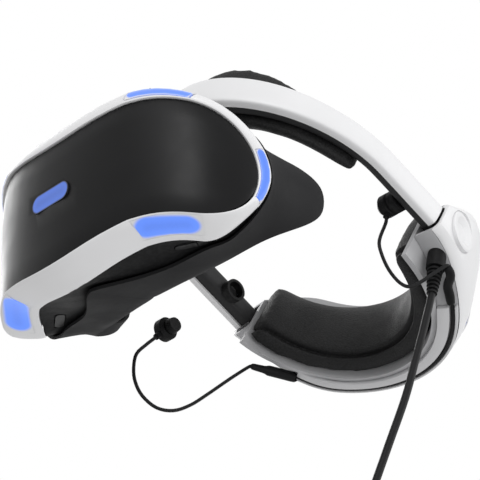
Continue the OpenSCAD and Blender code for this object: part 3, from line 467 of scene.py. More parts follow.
@dataclass(frozen=True)
class Glow(Finish):
    """A lit window: a round-ended patch of light that fades into the white round it."""

    name: str
    light: Colour
    rim: Colour
    strength: float = 1.0
    fade: tuple[float, float] = (0.66, 1.0)
    middle: float = 0.86
    fleck_scale: float = 900.0
    fleck: float = 0.96
    behind: float = 0.12
    gloss: tuple[float, float] = (0.42, 0.3)

    def draw(self, graph: Graph, shader: bpy.types.Node) -> None:
        """Draw the patch from the window's own layout.

        Args:
            graph: The material's graph.
            shader: Its Principled BSDF.
        """
        layout = graph.add("ShaderNodeSeparateXYZ")
        graph.join(graph.add("ShaderNodeUVMap", uv_map="window").outputs[0], layout.inputs[0])
        reach = graph.add("ShaderNodeAttribute", attribute_name="reach").outputs["Fac"]
        straight = graph.math("SUBTRACT", reach, 1.0)
        past = graph.math("SUBTRACT", graph.math("ABSOLUTE", layout.outputs["X"]), straight)
        along = graph.math("MAXIMUM", past, 0.0)
        away = graph.math("SQRT", graph.math(
            "ADD", graph.math("MULTIPLY", along, along),
            graph.math("MULTIPLY", layout.outputs["Y"], layout.outputs["Y"])))
        lit = graph.ramp(away, self.fade[0], self.fade[1], 1.0, 0.0)
        halo = graph.ramp(away, 0.0, 0.75, self.middle, 1.0)
        spots = graph.noise(graph.place(), self.fleck_scale, 2.0)
        flecks = graph.ramp(spots, 0.2, 0.8, self.fleck, 1.0)
        inner = graph.mix(lit, self.rim, tuple(self.behind * c for c in self.light))
        graph.join(inner, shader.inputs["Base Color"])
        shade = graph.math("MULTIPLY", graph.math("MULTIPLY", lit, halo), flecks)
        graph.join(graph.mix(shade, (0.0, 0.0, 0.0), self.light), shader.inputs["Emission Color"])
        shader.inputs["Emission Strength"].default_value = self.strength
        graph.join(graph.ramp(lit, 0.0, 1.0, *self.gloss), shader.inputs["Roughness"])


@dataclass(frozen=True)
class LensGlass(Finish):
    """A moulded lens with fine concentric steps round its axis."""

    name: str
    centre: tuple[float, float]
    pitch: float = 0.0009
    radii: tuple[float, float] = (0.004, 0.021)
    middle: Colour = (0.82, 0.88, 0.95)
    rim: Colour = (0.62, 0.7, 0.8)
    clear: float = 0.82
    index: float = 1.49
    relief: float = 0.00004

    def draw(self, graph: Graph, shader: bpy.types.Node) -> None:
        """Draw the clear body and the steps.

        Args:
            graph: The material's graph.
            shader: Its Principled BSDF.
        """
        at = graph.add("ShaderNodeSeparateXYZ")
        graph.join(graph.place(), at.inputs[0])
        across = graph.math("SUBTRACT", at.outputs["X"], self.centre[0])
        up = graph.math("SUBTRACT", at.outputs["Z"], self.centre[1])
        radius = graph.math("SQRT", graph.math(
            "ADD", graph.math("MULTIPLY", across, across), graph.math("MULTIPLY", up, up)))
        step = graph.math("FRACT", graph.math("DIVIDE", radius, self.pitch))
        tint = graph.mix(graph.ramp(radius, *self.radii), self.middle, self.rim)
        graph.join(tint, shader.inputs["Base Color"])
        graph.join(graph.ramp(step, 0.8, 1.0, 0.04, 0.12), shader.inputs["Roughness"])
        shader.inputs["Transmission Weight"].default_value = self.clear
        shader.inputs["IOR"].default_value = self.index
        self.bump(graph, shader, step, self.relief)


@dataclass(frozen=True)
class Circuit(Finish):
    """A printed board: solder mask with tracks and pads in a grid."""

    name: str
    mask: Colour = (0.012, 0.07, 0.035)
    track: Colour = (0.03, 0.16, 0.07)
    pad: Colour = (0.5, 0.4, 0.18)
    track_scale: float = 120.0
    track_width: float = 0.02
    pad_scale: float = 210.0
    relief: float = 0.0001

    def draw(self, graph: Graph, shader: bpy.types.Node) -> None:
        """Draw tracks and pads.

        Args:
            graph: The material's graph.
            shader: Its Principled BSDF.
        """
        place = graph.place()
        tracks = graph.add("ShaderNodeTexBrick", offset=0.5)
        tracks.inputs["Scale"].default_value = self.track_scale
        tracks.inputs["Mortar Size"].default_value = self.track_width
        tracks.inputs["Color1"].default_value = (0, 0, 0, 1)
        tracks.inputs["Color2"].default_value = (0, 0, 0, 1)
        tracks.inputs["Mortar"].default_value = (1, 1, 1, 1)
        turned = graph.add("ShaderNodeMapping")
        turned.inputs["Rotation"].default_value = (math.radians(90), 0.0, 0.0)
        graph.join(place, turned.inputs["Vector"])
        graph.join(turned.outputs[0], tracks.inputs["Vector"])
        spots = graph.add("ShaderNodeTexVoronoi", feature="F1")
        spots.inputs["Scale"].default_value = self.pad_scale
        graph.join(place, spots.inputs["Vector"])
        dots = graph.ramp(spots.outputs["Distance"], 0.16, 0.2, 1.0, 0.0)
        traced = graph.mix(tracks.outputs["Color"], self.mask, self.track)
        graph.join(graph.mix(dots, traced, self.pad), shader.inputs["Base Color"])
        graph.join(graph.ramp(dots, 0.0, 1.0, 0.4, 0.25), shader.inputs["Roughness"])
        graph.join(dots, shader.inputs["Metallic"])
        self.bump(graph, shader, dots, self.relief)


@dataclass(frozen=True)
class Screen(Finish):
    """A dark display behind glass, with its fine grid of cells."""

    name: str
    cell_scale: float = 2400.0
    dark: Colour = (0.006, 0.006, 0.009)
    light: Colour = (0.016, 0.014, 0.022)
    smear_scale: float = 30.0
    gloss: tuple[float, float] = (0.06, 0.16)

    def draw(self, graph: Graph, shader: bpy.types.Node) -> None:
        """Draw the grid.

        Args:
            graph: The material's graph.
            shader: Its Principled BSDF.
        """
        cells = graph.add("ShaderNodeTexChecker")
        cells.inputs["Scale"].default_value = self.cell_scale
        graph.join(graph.place(), cells.inputs["Vector"])
        grid = graph.mix(cells.outputs["Fac"], self.dark, self.light)
        graph.join(grid, shader.inputs["Base Color"])
        smear = graph.noise(graph.place(), self.smear_scale, 3.0)
        graph.join(graph.ramp(smear, 0.3, 0.7, *self.gloss), shader.inputs["Roughness"])


@dataclass(frozen=True)
class Jacket(Finish):
    """A cord's smooth jacket, with faint drawing lines along its length."""

    name: str
    colour: Colour
    gloss: tuple[float, float] = (0.42, 0.56)
    shine: float = 0.15
    stretch: tuple[float, float, float] = (30.0, 14.0, 1.0)
    grain: float = 2400.0
    depth: float = 0.00005
    dust: float = 0.1
    grey: Colour = (0.1, 0.1, 0.1)
    lift: float = 1.7

    def draw(self, graph: Graph, shader: bpy.types.Node) -> None:
        """Draw lines along the jacket's own layout.

        Args:
            graph: The material's graph.
            shader: Its Principled BSDF.
        """
        layout = graph.add("ShaderNodeUVMap", uv_map="jacket").outputs[0]
        stretch = graph.add("ShaderNodeMapping")
        stretch.inputs["Scale"].default_value = self.stretch
        graph.join(layout, stretch.inputs["Vector"])
        lines = graph.noise(stretch.outputs[0], 3.0, 3.0)
        grain = self.effect(graph, Effects.grain(), Scale=self.grain)
        dust = self.effect(graph, Effects.dust(), Amount=self.dust)
        body = graph.mix(lines, self.colour, tuple(self.lift * c for c in self.colour))
        dusty = graph.mix(dust.outputs["Mask"], body, self.grey)
        graph.join(dusty, shader.inputs["Base Color"])
        graph.join(graph.ramp(lines, 0.3, 0.7, *self.gloss), shader.inputs["Roughness"])
        shader.inputs["Specular IOR Level"].default_value = self.shine
        self.bump(graph, shader, grain.outputs["Height"], self.depth)


WHITE = Moulding("white_satin", (0.78, 0.78, 0.79), (0.85, 0.85, 0.85), (0.36, 0.46),
                 vary=0.012, wear=0.15)
CHARCOAL = Moulding("charcoal_satin", (0.006, 0.006, 0.0065), (0.04, 0.04, 0.04), (0.34, 0.4),
                    grain=3400.0, depth=0.00003, dust=0.02, shine=0.14)
BLACK = Moulding("black_matte", (0.007, 0.007, 0.0075), (0.03, 0.03, 0.03), (0.5, 0.62),
                 dust=0.04, shine=0.1)
RUBBER = Moulding("rubber_matte", (0.017, 0.017, 0.018), (0.04, 0.04, 0.04), (0.62, 0.75),
                  grain=1900.0, depth=0.00008, dust=0.06, shine=0.12)
LINER = Moulding("liner_matte", (0.025, 0.025, 0.026), (0.07, 0.07, 0.07), (0.5, 0.6), shine=0.2)
PLATE = Moulding("plate_satin", (0.42, 0.42, 0.43), (0.5, 0.5, 0.5), (0.45, 0.55), vary=0.04)
RAIL = Moulding("rail_satin", (0.55, 0.55, 0.56), (0.62, 0.62, 0.62), (0.45, 0.55), vary=0.03)
KEY = Moulding("key_satin", (0.009, 0.009, 0.0095), (0.05, 0.05, 0.05), (0.32, 0.42),
               wear=0.6, shine=0.2)
DIAL = Moulding("dial_satin", (0.42, 0.42, 0.43), (0.6, 0.6, 0.6), (0.38, 0.48), wear=0.5)
SOFT_BLACK = Moulding("boot_black", (0.007, 0.007, 0.0075), (0.03, 0.03, 0.03), (0.5, 0.62),
                      grain=1800.0, dust=0.05, shine=0.12)
# The second colour is painted shade in the pebble creases.
PAD = Leather("pebbled_black", (0.011, 0.011, 0.0115), (0.004, 0.004, 0.004))
CORD = Jacket("jacket_black", (0.007, 0.007, 0.0075))
WINDOW = Glow("window_glow", (0.127, 0.283, 1.0), (0.78, 0.78, 0.79), 0.95)
FRONT_WINDOW = Glow("front_glow", (0.06, 0.15, 0.6), (0.008, 0.01, 0.015), 0.95, (0.78, 1.0))
BOARD = Circuit("printed_board")
SCREEN = Screen("dark_screen")


class Bench:
    """Tools that the sub-assemblies share for making and placing pieces."""

    merge: float = 0.00002
    quad_angle: float = math.radians(50)
    quad_skew: float = math.radians(70)
    smooth_angle: float = math.radians(36)

    @staticmethod
    def only(piece: bpy.types.Object) -> None:
        """Select this object alone and make it active."""
        bpy.ops.object.select_all(action="DESELECT")
        piece.select_set(True)
        bpy.context.view_layer.objects.active = piece

    @staticmethod
    def new(name: str, points: np.ndarray, faces: list) -> bpy.types.Object:
        """Make a mesh object.

        Args:
            name: Its name.
            points: Corners in metres.
            faces: Corner numbers of each face.

        Returns:
            The object.
        """
        mesh = bpy.data.meshes.new(name)
        mesh.from_pydata([tuple(p) for p in points], [], faces)
        mesh.update()
        piece = bpy.data.objects.new(name, mesh)
        bpy.context.scene.collection.objects.link(piece)
        return piece

    @classmethod
    def copy_of(cls, node: str, name: str) -> bpy.types.Object:
        """Copy a CAD node into a new object and merge its loose triangles.

        Args:
            node: The CAD node.
            name: Name of the new piece.

        Returns:
            The new piece.
        """
        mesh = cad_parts[node].data.copy()
        mesh.name = name
        mesh.materials.clear()
        piece = bpy.data.objects.new(name, mesh)
        bpy.context.scene.collection.objects.link(piece)
        cls.only(piece)
        if mesh.has_custom_normals:
            bpy.ops.mesh.customdata_custom_splitnormals_clear()
        bpy.ops.object.mode_set(mode="EDIT")
        bpy.ops.mesh.select_all(action="SELECT")
        bpy.ops.mesh.remove_doubles(threshold=cls.merge)
        bpy.ops.object.mode_set(mode="OBJECT")
        return piece

    @classmethod
    def refine(cls, piece: bpy.types.Object, levels: int, crease: float, bevel: float) -> None:
        """Round a copied solid: quads, subdivision between its sharp edges, softened edges.

        Args:
            piece: The copied solid.
            levels: Subdivision levels, 0 for none.
            crease: Edges sharper than this many degrees stay.
            bevel: Width of the softened edges in metres, 0 for none.
        """
        cls.only(piece)
        if levels:
            bpy.ops.object.mode_set(mode="EDIT")
            bpy.ops.mesh.select_all(action="SELECT")
            bpy.ops.mesh.tris_convert_to_quads(
                face_threshold=cls.quad_angle, shape_threshold=cls.quad_skew)
            bpy.ops.object.mode_set(mode="OBJECT")
            cls.crease(piece, crease)
            cls.apply(piece, "SUBSURF", levels=levels, render_levels=levels)
        if bevel:
            cls.apply(piece, "BEVEL", width=bevel, segments=2, limit_method="ANGLE",
                      angle_limit=math.radians(crease))
        cls.only(piece)
        bpy.ops.object.shade_smooth_by_angle(angle=cls.smooth_angle)

    @staticmethod
    def crease(piece: bpy.types.Object, angle: float) -> None:
        """Mark a piece's sharp edges, so that subdivision keeps them.

        Args:
            piece: The piece.
            angle: Edges sharper than this many degrees are marked.
        """
        shape = bmesh.new()
        shape.from_mesh(piece.data)
        layers = shape.edges.layers.float
        layer = layers.get("crease_edge") or layers.new("crease_edge")
        for edge in shape.edges:
            edge[layer] = 1.0 if edge.calc_face_angle(math.pi) > math.radians(angle) else 0.0
        shape.to_mesh(piece.data)
        shape.free()

    @classmethod
    def apply(cls, piece: bpy.types.Object, kind: str, **settings: object) -> None:
        """Add a modifier and apply it.

        Args:
            piece: The object.
            kind: The modifier's type.
            settings: Its properties.
        """
        cls.only(piece)
        modifier = piece.modifiers.new(kind.lower(), kind)
        for key, value in settings.items():
            setattr(modifier, key, value)
        bpy.ops.object.modifier_apply(modifier=modifier.name)

    @staticmethod
    def settle(piece: bpy.types.Object, body: Body, finish: Finish, slot: str,
               *nodes: str) -> None:
        """Dress a piece and hand it to its body.

        Args:
            piece: The piece.
            body: The body that it rides on.
            finish: Its finish.
            slot: Not used.
            nodes: CAD nodes that it stands for.
        """
        finish.put_on(piece)
        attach(piece, body.value)
        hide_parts(*nodes)
        LOG.info("%s rides on %s, %d faces", piece.name, body.value, len(piece.data.polygons))

    @classmethod
    def skin(cls, node: str, body: Body, finish: Finish, slot: str, levels: int = 0,
             crease: float = 32.0, bevel: float = 0.0) -> None:
        """Put a smooth copy of a CAD node in its place.

        Args:
            node: The CAD node.
            body: The body that the copy rides on.
            finish: Its finish.
            slot: Handed on to settle, which does not use it.
            levels: Subdivision levels, 0 for none.
            crease: Edges sharper than this many degrees stay.
            bevel: Width of the softened edges in metres, 0 for none.
        """
        piece = cls.copy_of(node, f"{node}_skin")
        cls.refine(piece, levels, crease, bevel)
        cls.settle(piece, body, finish, slot, node)

    @staticmethod
    def points(piece: bpy.types.Object) -> np.ndarray:
        """Give a piece's corners in metres."""
        return np.array([v.co for v in piece.data.vertices])

    @staticmethod
    def normals(piece: bpy.types.Object) -> np.ndarray:
        """Give the normal at each of a piece's corners."""
        return np.array([v.normal for v in piece.data.vertices])

    @staticmethod
    def move(piece: bpy.types.Object, place: np.ndarray) -> None:
        """Put a piece's corners in new places."""
        piece.data.vertices.foreach_set("co", place.ravel())
        piece.data.update()

    @staticmethod
    def paint(finish: Finish, *nodes: str) -> None:
        """Give CAD nodes that stay a finish.

        Args:
            finish: The finish.
            nodes: The CAD nodes.
        """
        for node in nodes:
            finish.put_on(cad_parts[node])
            LOG.info("%s dressed as %s", node, finish.name)

    @classmethod
    def window(cls, node: str, name: str) -> bpy.types.Object:
        """Copy a window and lay each of its panes out flat, along and across.

        Args:
            node: The CAD node.
            name: Name of the new piece.

        Returns:
            The piece, with its layout.
        """
        piece = cls.copy_of(node, name)
        shape = bmesh.new()
        shape.from_mesh(piece.data)
        layer = shape.loops.layers.uv.new("window")
        reach = shape.verts.layers.float.new("reach")
        left = set(shape.verts)
        while left:
            pane, edge = set(), [next(iter(left))]
            while edge:
                vertex = edge.pop()
                if vertex in pane:
                    continue
                pane.add(vertex)
                edge.extend(e.other_vert(vertex) for e in vertex.link_edges)
            left -= pane
            corners = sorted(pane, key=lambda corner: corner.index)
            place = np.array([v.co for v in corners])
            middle = place.mean(0)
            _, _, axes = np.linalg.svd(place - middle)
            u, v = (place - middle) @ axes[0], (place - middle) @ axes[1]
            u -= (u.max() + u.min()) / 2
            bend = np.polyfit(u, v, 2)
            v = v - np.polyval(bend, u)
            half = max((v.max() - v.min()) / 2, 1e-6)
            v -= (v.max() + v.min()) / 2
            laid = {c: (x / half, y / half) for c, x, y in zip(corners, u, v)}
            for vertex in corners:
                vertex[reach] = float(np.abs(u).max() / half)
                for loop in vertex.link_loops:
                    loop[layer].uv = laid[vertex]
        shape.to_mesh(piece.data)
        shape.free()
        cls.only(piece)
        bpy.ops.object.shade_smooth_by_angle(angle=cls.smooth_angle)
        return piece


@dataclass
class Camera:
    """The photograph's view: from the front left, below, with a long lens."""

    target: Point = (0.0, 0.040, 0.020)
    azimuth: float = 47.64
    dip: float = 29.41
    roll: float = -1.19
    distance: float = 1.613
    lens: float = 225.0
    shift: tuple[float, float] = (0.0008, 0.0078)
    sensor: float = 36.0
    far: float = 50.0

    def build(self) -> None:
        """Make the camera and set it as the scene's."""
        a, e, r = (math.radians(x) for x in (self.azimuth, self.dip, self.roll))
        back = Vector((math.sin(a) * math.cos(e), -math.cos(a) * math.cos(e), -math.sin(e)))
        level = Vector((math.cos(a), math.sin(a), 0.0))
        rise = Vector((math.sin(e) * math.sin(a), -math.sin(e) * math.cos(a), math.cos(e)))
        right = math.cos(r) * level + math.sin(r) * rise
        up = math.cos(r) * rise - math.sin(r) * level
        data = bpy.data.cameras.new("photo_view")
        data.lens = self.lens
        data.sensor_width = self.sensor
        data.shift_x, data.shift_y = self.shift
        data.clip_end = self.far
        view = bpy.data.objects.new("photo_view", data)
        bpy.context.scene.collection.objects.link(view)
        place = Matrix((right, up, back)).transposed().to_4x4()
        place.translation = Vector(self.target) + self.distance * back
        view.matrix_world = place
        bpy.context.scene.camera = view


@dataclass
class Studio:
    """A pale floor far below, a white surround and five soft lamps."""

    floor_z: float = -3.4
    floor_half: float = 9.0
    floor_cells: int = 12
    paper: tuple[Colour, Colour] = ((0.86, 0.86, 0.86), (0.9, 0.9, 0.9))
    paper_scale: float = 5.0
    paper_rough: float = 0.9
    aim: Point = (0.0, 0.03, 0.02)
    fill: float = 0.62
    lamps: tuple = (
        ("key", (0.9, -1.6, 1.7), 1.5, 7.0),
        ("under", (1.9, 0.3, -1.0), 1.4, 14.0),
        ("back", (1.2, 1.6, 0.7), 1.2, 6.0),
        ("glint", (1.05, -1.15, 0.85), 0.6, 8.0),
        ("edge", (-1.6, 0.4, 1.0), 1.0, 9.0),
    )

    def build(self) -> None:
        """Make the floor, the surround and the lamps."""
        self._surround()
        self._floor()
        for name, place, size, power in self.lamps:
            data = bpy.data.lights.new(name, "AREA")
            data.shape = "DISK"
            data.size = size
            data.energy = power
            lamp = bpy.data.objects.new(name, data)
            bpy.context.scene.collection.objects.link(lamp)
            lamp.location = place
            look = Vector(self.aim) - Vector(place)
            lamp.rotation_euler = look.to_track_quat("-Z", "Y").to_euler()

    def _surround(self) -> None:
        """Light evenly, and show white to the camera and to reflections."""
        world = bpy.data.worlds.new("surround")
        world.use_nodes = True
        bpy.context.scene.world = world
        graph = Graph(world.node_tree)
        plain = world.node_tree.nodes["Background"]
        plain.inputs["Color"].default_value = (1.0, 1.0, 1.0, 1.0)
        path = graph.add("ShaderNodeLightPath").outputs
        seen = graph.math("MAXIMUM", path["Is Camera Ray"], path["Is Glossy Ray"])
        seen = graph.math("MAXIMUM", seen, path["Is Transmission Ray"])
        strength = graph.ramp(seen, 0.0, 1.0, self.fill, 1.0, soft=False)
        graph.join(strength, plain.inputs["Strength"])
        bpy.context.scene.view_settings.view_transform = "Standard"

    def _floor(self) -> None:
        """Lay the floor."""
        bpy.ops.object.select_all(action="DESELECT")
        bpy.ops.mesh.primitive_grid_add(
            x_subdivisions=self.floor_cells, y_subdivisions=self.floor_cells,
            size=2 * self.floor_half, location=(0.0, 0.0, self.floor_z))
        floor = bpy.context.object
        floor.name = "floor"
        bpy.ops.object.transform_apply(location=True)
        paper = bpy.data.materials.new("pale_paper")
        paper.use_nodes = True
        graph = Graph(paper.node_tree)
        shader = paper.node_tree.nodes["Principled BSDF"]
        shade = graph.mix(graph.noise(graph.place(), self.paper_scale), *self.paper)
        graph.join(shade, shader.inputs["Base Color"])
        shader.inputs["Roughness"].default_value = self.paper_rough
        floor.data.materials.append(paper)


class Route:
    """A cord's centreline in metres, and the tube round it."""

    first_side: Point = (1.0, 0.2, 0.1)
    smooth_angle: float = math.radians(50)

    @staticmethod
    def rounded(points: list[Point], share: int) -> np.ndarray:
        """Round a route through its points.

        Args:
            points: The route in millimetres.
            share: Steps between two points.

        Returns:
            The rounded route in metres.
        """
        p = np.array(points, float)
        line = []
        for i in range(len(p) - 1):
            a, b, c, d = p[max(0, i - 1)], p[i], p[i + 1], p[min(len(p) - 1, i + 2)]
            for k in range(share):
                t = k / share
                line.append(0.5 * (2 * b + (c - a) * t + (2 * a - 5 * b + 4 * c - d) * t ** 2
                                   + (3 * b - a - 3 * c + d) * t ** 3))
        return MM * np.array([*line, p[-1]])

    @staticmethod
    def length(line: np.ndarray) -> float:
        """Give a centreline's length in metres."""
        return float(np.linalg.norm(np.diff(line, axis=0), axis=1).sum())

    @classmethod
    def tube(cls, name: str, line: np.ndarray, radii: np.ndarray, sides: int) -> bpy.types.Object:
        """Sweep a closed round tube along a centreline, laid out along and around for its jacket.

        Args:
            name: The piece's name.
            line: The centreline in metres.
            radii: Radius at each of its points.
            sides: Corners round the tube.

        Returns:
            The tube.
        """
        n = len(line)
        ahead = np.array([line[min(n - 1, i + 1)] - line[max(0, i - 1)] for i in range(n)])
        ahead /= np.linalg.norm(ahead, axis=1)[:, None]
        side = np.array(cls.first_side)
        turn = 2 * np.pi * np.arange(sides) / sides
        points, faces = [], []
        for i in range(n):
            side = side - side @ ahead[i] * ahead[i]
            side /= np.linalg.norm(side)
            over = np.cross(ahead[i], side)
            ring = np.cos(turn)[:, None] * side + np.sin(turn)[:, None] * over
            points.extend(line[i] + radii[i] * ring)
        for i in range(n - 1):
            for j in range(sides):
                k, near, far = (j + 1) % sides, i * sides, (i + 1) * sides
                faces.append((near + j, near + k, far + k, far + j))
        faces.append(tuple(range(sides - 1, -1, -1)))
        faces.append(tuple((n - 1) * sides + j for j in range(sides)))
        piece = Bench.new(name, np.array(points), faces)
        run = np.concatenate([[0.0], np.cumsum(np.linalg.norm(np.diff(line, axis=0), axis=1))])
        layer = piece.data.uv_layers.new(name="jacket")
        for face in piece.data.polygons:
            wraps = face.index % sides == sides - 1 and len(face.vertices) == 4
            for loop in face.loop_indices:
                vertex = piece.data.loops[loop].vertex_index
                around = vertex % sides
                if wraps and around == 0:
                    around = sides
                layer.data[loop].uv = (run[vertex // sides], around / sides)
        Bench.only(piece)
        bpy.ops.object.shade_smooth_by_angle(angle=cls.smooth_angle)
        return piece


@dataclass
class Leads:
    """The cords: main cable with its tied coil, earbud cords and the lead under the rear shell."""

    cable_d: float = 4.2
    cable_sides: int = 14
    cable_share: int = 5
    cord_d: float = 2.0
    cord_sides: int = 10
    cord_share: int = 4
    gland: Point = (69.594, 114.026, -13.88)
    cable: tuple = ((0, 0, 0), (0, -4.5, -14), (0, -14.6, -43), (0, -24, -69), (-2, -35, -97),
                    (-4, -46, -125), (-4, -53, -142))
    left: tuple = ((59.3, 92.849, 29.781), (59.3, 92.149, 25.781), (61, 85, 12), (63, 84, 3),
                   (64, 88, -6), (65, 95, -12), (67, 101, -13), (71, 106.5, -9), (75.5, 111.5, -4),
                   (78.076, 117.93, 1.161), (76.9, 120, 0.7))
    left_bend: tuple[int, int] = (4, -6)
    right: tuple = ((-66, 107, -6), (-66, 104, -8), (-66, 91, -19), (-66, 73, -35), (-66, 61, -45),
                    (-66, 49, -52), (-66, 37, -54), (-66, 27, -50), (-66, 22, -43), (-66, 21, -35),
                    (-66, 23, -26), (-66, 30, -18), (-66, 34, -14), (-66, 37, -11))
    coil_mid: Point = (73.544, 86.639, -175.517)
    coil_tail: Point = (81.494, 56.847, -179.717)
    coil_in: float = 16.1
    coil_pitch: float = 5.3
    coil_turns: int = 3
    coil_layers: int = 4
    coil_steps: int = 24
    coil_start: float = 150.0
    coil_short: int = 10
    lead_span: tuple[float, float] = (128.0, 236.0)
    lead_steps: int = 60

    def _coil(self) -> np.ndarray:
        """Wind the coil in flat layers, in and out by turns.

        Returns:
            Its centreline in metres, up to the plug.
        """
        turn, climb = self.coil_turns * self.coil_steps, self.coil_steps // 2
        layer_steps = turn + climb
        half = self.coil_pitch * (self.coil_layers - 1) / 2
        line = []
        for i in range(self.coil_layers * layer_steps - climb - self.coil_short + 1):
            layer, j = divmod(i, layer_steps)
            share, up = min(1.0, j / turn), max(0.0, (j - turn) / climb)
            lap = self.coil_turns * (1 - share if layer % 2 == 0 else share)
            r = self.coil_in + self.coil_pitch * lap
            a = math.radians(self.coil_start + 360 * i / self.coil_steps)
            line.append((self.coil_mid[0] + self.coil_pitch * (layer + up) - half,
                         self.coil_mid[1] + r * math.cos(a), self.coil_mid[2] + r * math.sin(a)))
        return MM * np.array([*line, self.coil_tail])

    def build(self) -> None:
        free = Route.rounded([np.add(self.gland, step) for step in self.cable], self.cable_share)
        self._cord("cable", np.concatenate([free, self._coil()]), self.cable_d, self.cable_sides,
                   ("main_cable", "cable_coil"), far_end="plug", stiffness="medium", lay="coiled",
                   with_pieces=["cable_plug", "cable_tie"])
        right = Route.rounded(list(self.right), self.cord_share)
        self._cord("earbud_cord_right", right, self.cord_d, self.cord_sides, ("right_cord",),
                   far_end="fitting", stiffness="limp", lay="hanging",
                   with_pieces=["earbud_right"])
        self._left_cord()
        low, high = self.lead_span
        lead = np.array([Shell.lead_at(low + (high - low) * i / self.lead_steps)
                         for i in range(self.lead_steps + 1)])
        self._cord("rear_lead", lead, self.cord_d, self.cord_sides, ("under_lead",),
                   far_end="object", stiffness="limp", lay="taut")

    @staticmethod
    def _cord(name: str, line: np.ndarray, width: float, sides: int, nodes: tuple[str, ...],
              **facts: object) -> None:
        """Args:
            name: The piece's name.
            line: Its centreline in metres.
            width: Its diameter in millimetres.
            sides: Corners round it.
            nodes: CAD nodes that it stands for.
            facts: Not used.
        """
        piece = Route.tube(name, line, np.full(len(line), width / 2 * MM), sides)
        Bench.settle(piece, Body.REAR, CORD, "cord_black", *nodes)
        Route.length(line)

    def _left_cord(self) -> None:
        """Make the parked earbud's cord, which bends between the headband and the rear half."""
        line = Route.rounded(list(self.left), self.cord_share)
        radii = np.full(len(line), self.cord_d / 2 * MM)
        piece = Route.tube("earbud_cord_left", line, radii, self.cord_sides)
        CORD.put_on(piece)
        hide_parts("left_cord")
        first, last = self.left_bend
        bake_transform(piece, Body.HEADBAND.value, Body.REAR.value, start=line[first], end=line[last])
        Route.length(line)
        LOG.info("%s bends between two bodies", piece.name)


class Shell:
    """The rear half's wrapped surface, in the sizes that the solids have."""

    start: float = 97.0
    mouth: Point = (75.5, 113.351, 28.6687)
    end_y: float = 184.0
    half_x: float = 83.5
    mouth_half: float = 11.0
    back_low: float = 26.04
    low_by: float = 0.8
    tilt: tuple[float, float] = (29.0, 12.0)
    back_z: float = 9.0
    fall: float = 0.9
    lead_in: float = 8.5
    lead_drop: float = 1.15
    search: tuple[float, float, int] = (98.0, 262.0, 165)
    search_depth: float = 45.0

    @classmethod
    def share(cls, a: float) -> float:
        """Give how far round the back an angle in degrees is, from 0 at a mouth to 1."""
        first = math.cos(math.radians(cls.start))
        return min(1.0, max(0.0, (first - math.cos(math.radians(a))) / (1 + first)))

    @classmethod
    def low(cls, a: float) -> float:
        """Give how far the rear half reaches down at an angle in degrees."""
        k = min(1.0, cls.share(a) / cls.low_by)
        return cls.mouth_half + (cls.back_low - cls.mouth_half) * k * k * (3 - 2 * k)

    @classmethod
    def at(cls, a: float, out: float, up: float) -> np.ndarray:
        """Give a point on the wrapped surface.

        Args:
            a: Angle round the back in degrees.
            out: Distance outwards in millimetres.
            up: Distance up the shell in millimetres.

        Returns:
            The point in metres.
        """
        first, r, k = math.cos(math.radians(cls.start)), math.radians(a), cls.share(a)
        mid_y = (cls.mouth[1] + first * cls.end_y) / (1 + first)
        long, wide = cls.end_y - mid_y, cls.half_x / math.sin(math.radians(cls.start))
        normal = np.array([long * math.sin(r), -wide * math.cos(r), 0.0])
        tilt = math.radians(cls.tilt[0] + (cls.tilt[1] - cls.tilt[0]) * k)
        base = np.array([wide * math.sin(r), mid_y - long * math.cos(r),
                         cls.mouth[2] + (cls.back_z - cls.mouth[2]) * k ** cls.fall])
        rise = np.array([0.0, math.sin(tilt), math.cos(tilt)])
        return MM * (base + out * normal / np.linalg.norm(normal) + up * rise)

    @classmethod
    def locate(cls, points: np.ndarray) -> tuple[np.ndarray, np.ndarray]:
        """Find how far up the shell points lie.

        Args:
            points: Points near the surface, in metres.

        Returns:
            The distance of each up the shell from its middle line, in millimetres, and the
            way up there.
        """
        best, height = np.full(len(points), np.inf), np.zeros(len(points))
        way = np.zeros((len(points), 3))
        for a in np.linspace(*cls.search):
            base = cls.at(a, 0.0, 0.0)
            out = (cls.at(a, 1.0, 0.0) - base) / MM
            rise = (cls.at(a, 0.0, 1.0) - base) / MM
            off, skew = (points - base) / MM, out @ rise
            up = (off @ rise - skew * (off @ out)) / (1 - skew ** 2)
            away = off @ out - skew * up
            miss = np.linalg.norm(off - np.outer(away, out) - np.outer(up, rise), axis=1)
            miss[np.abs(away) > cls.search_depth] = np.inf
            near = miss < best
            best[near], height[near], way[near] = miss[near], up[near], rise
        return height, way

    @classmethod
    def lead_at(cls, a: float) -> np.ndarray:
        """Give the middle of the lead under the shell at an angle in degrees."""
        return cls.at(a, -cls.lead_in, -cls.low(a) - cls.lead_drop)


@dataclass
class VisorFront:
    """Faceplate, bezel and their lit windows."""

    bevel: float = 0.0004
    windows: tuple = (("top_windows", "top_lights", WINDOW),
                      ("bottom_windows", "bottom_lights", WINDOW),
                      ("side_windows", "side_lights", WINDOW),
                      ("front_window", "front_light", FRONT_WINDOW))

    def build(self) -> None:
        """Make the smooth faceplate and bezel, and the windows."""
        Bench.skin("faceplate", Body.VISOR, CHARCOAL, "faceplate_charcoal", bevel=self.bevel)
        Bench.skin("bezel", Body.VISOR, WHITE, "white_shell", 1, bevel=self.bevel)
        for name, node, finish in self.windows:
            Bench.settle(Bench.window(node, name), Body.VISOR, finish, "light_window", node)
        Bench.paint(BLACK, "front_frame")


@dataclass
class VisorBody:
    """Housing, light shield, carriage and keys."""

    shield_crease: float = 40.0

    def build(self) -> None:
        """Make the smooth housing and shield, and dress the rest."""
        Bench.skin("visor_housing", Body.VISOR, BLACK, "black_housing")
        Bench.skin("light_shield", Body.VISOR, RUBBER, "shield_rubber", 1, self.shield_crease)
        Bench.paint(BLACK, "slide_carriage")
        Bench.paint(KEY, "volume_rocker", "power_key", "visor_release")


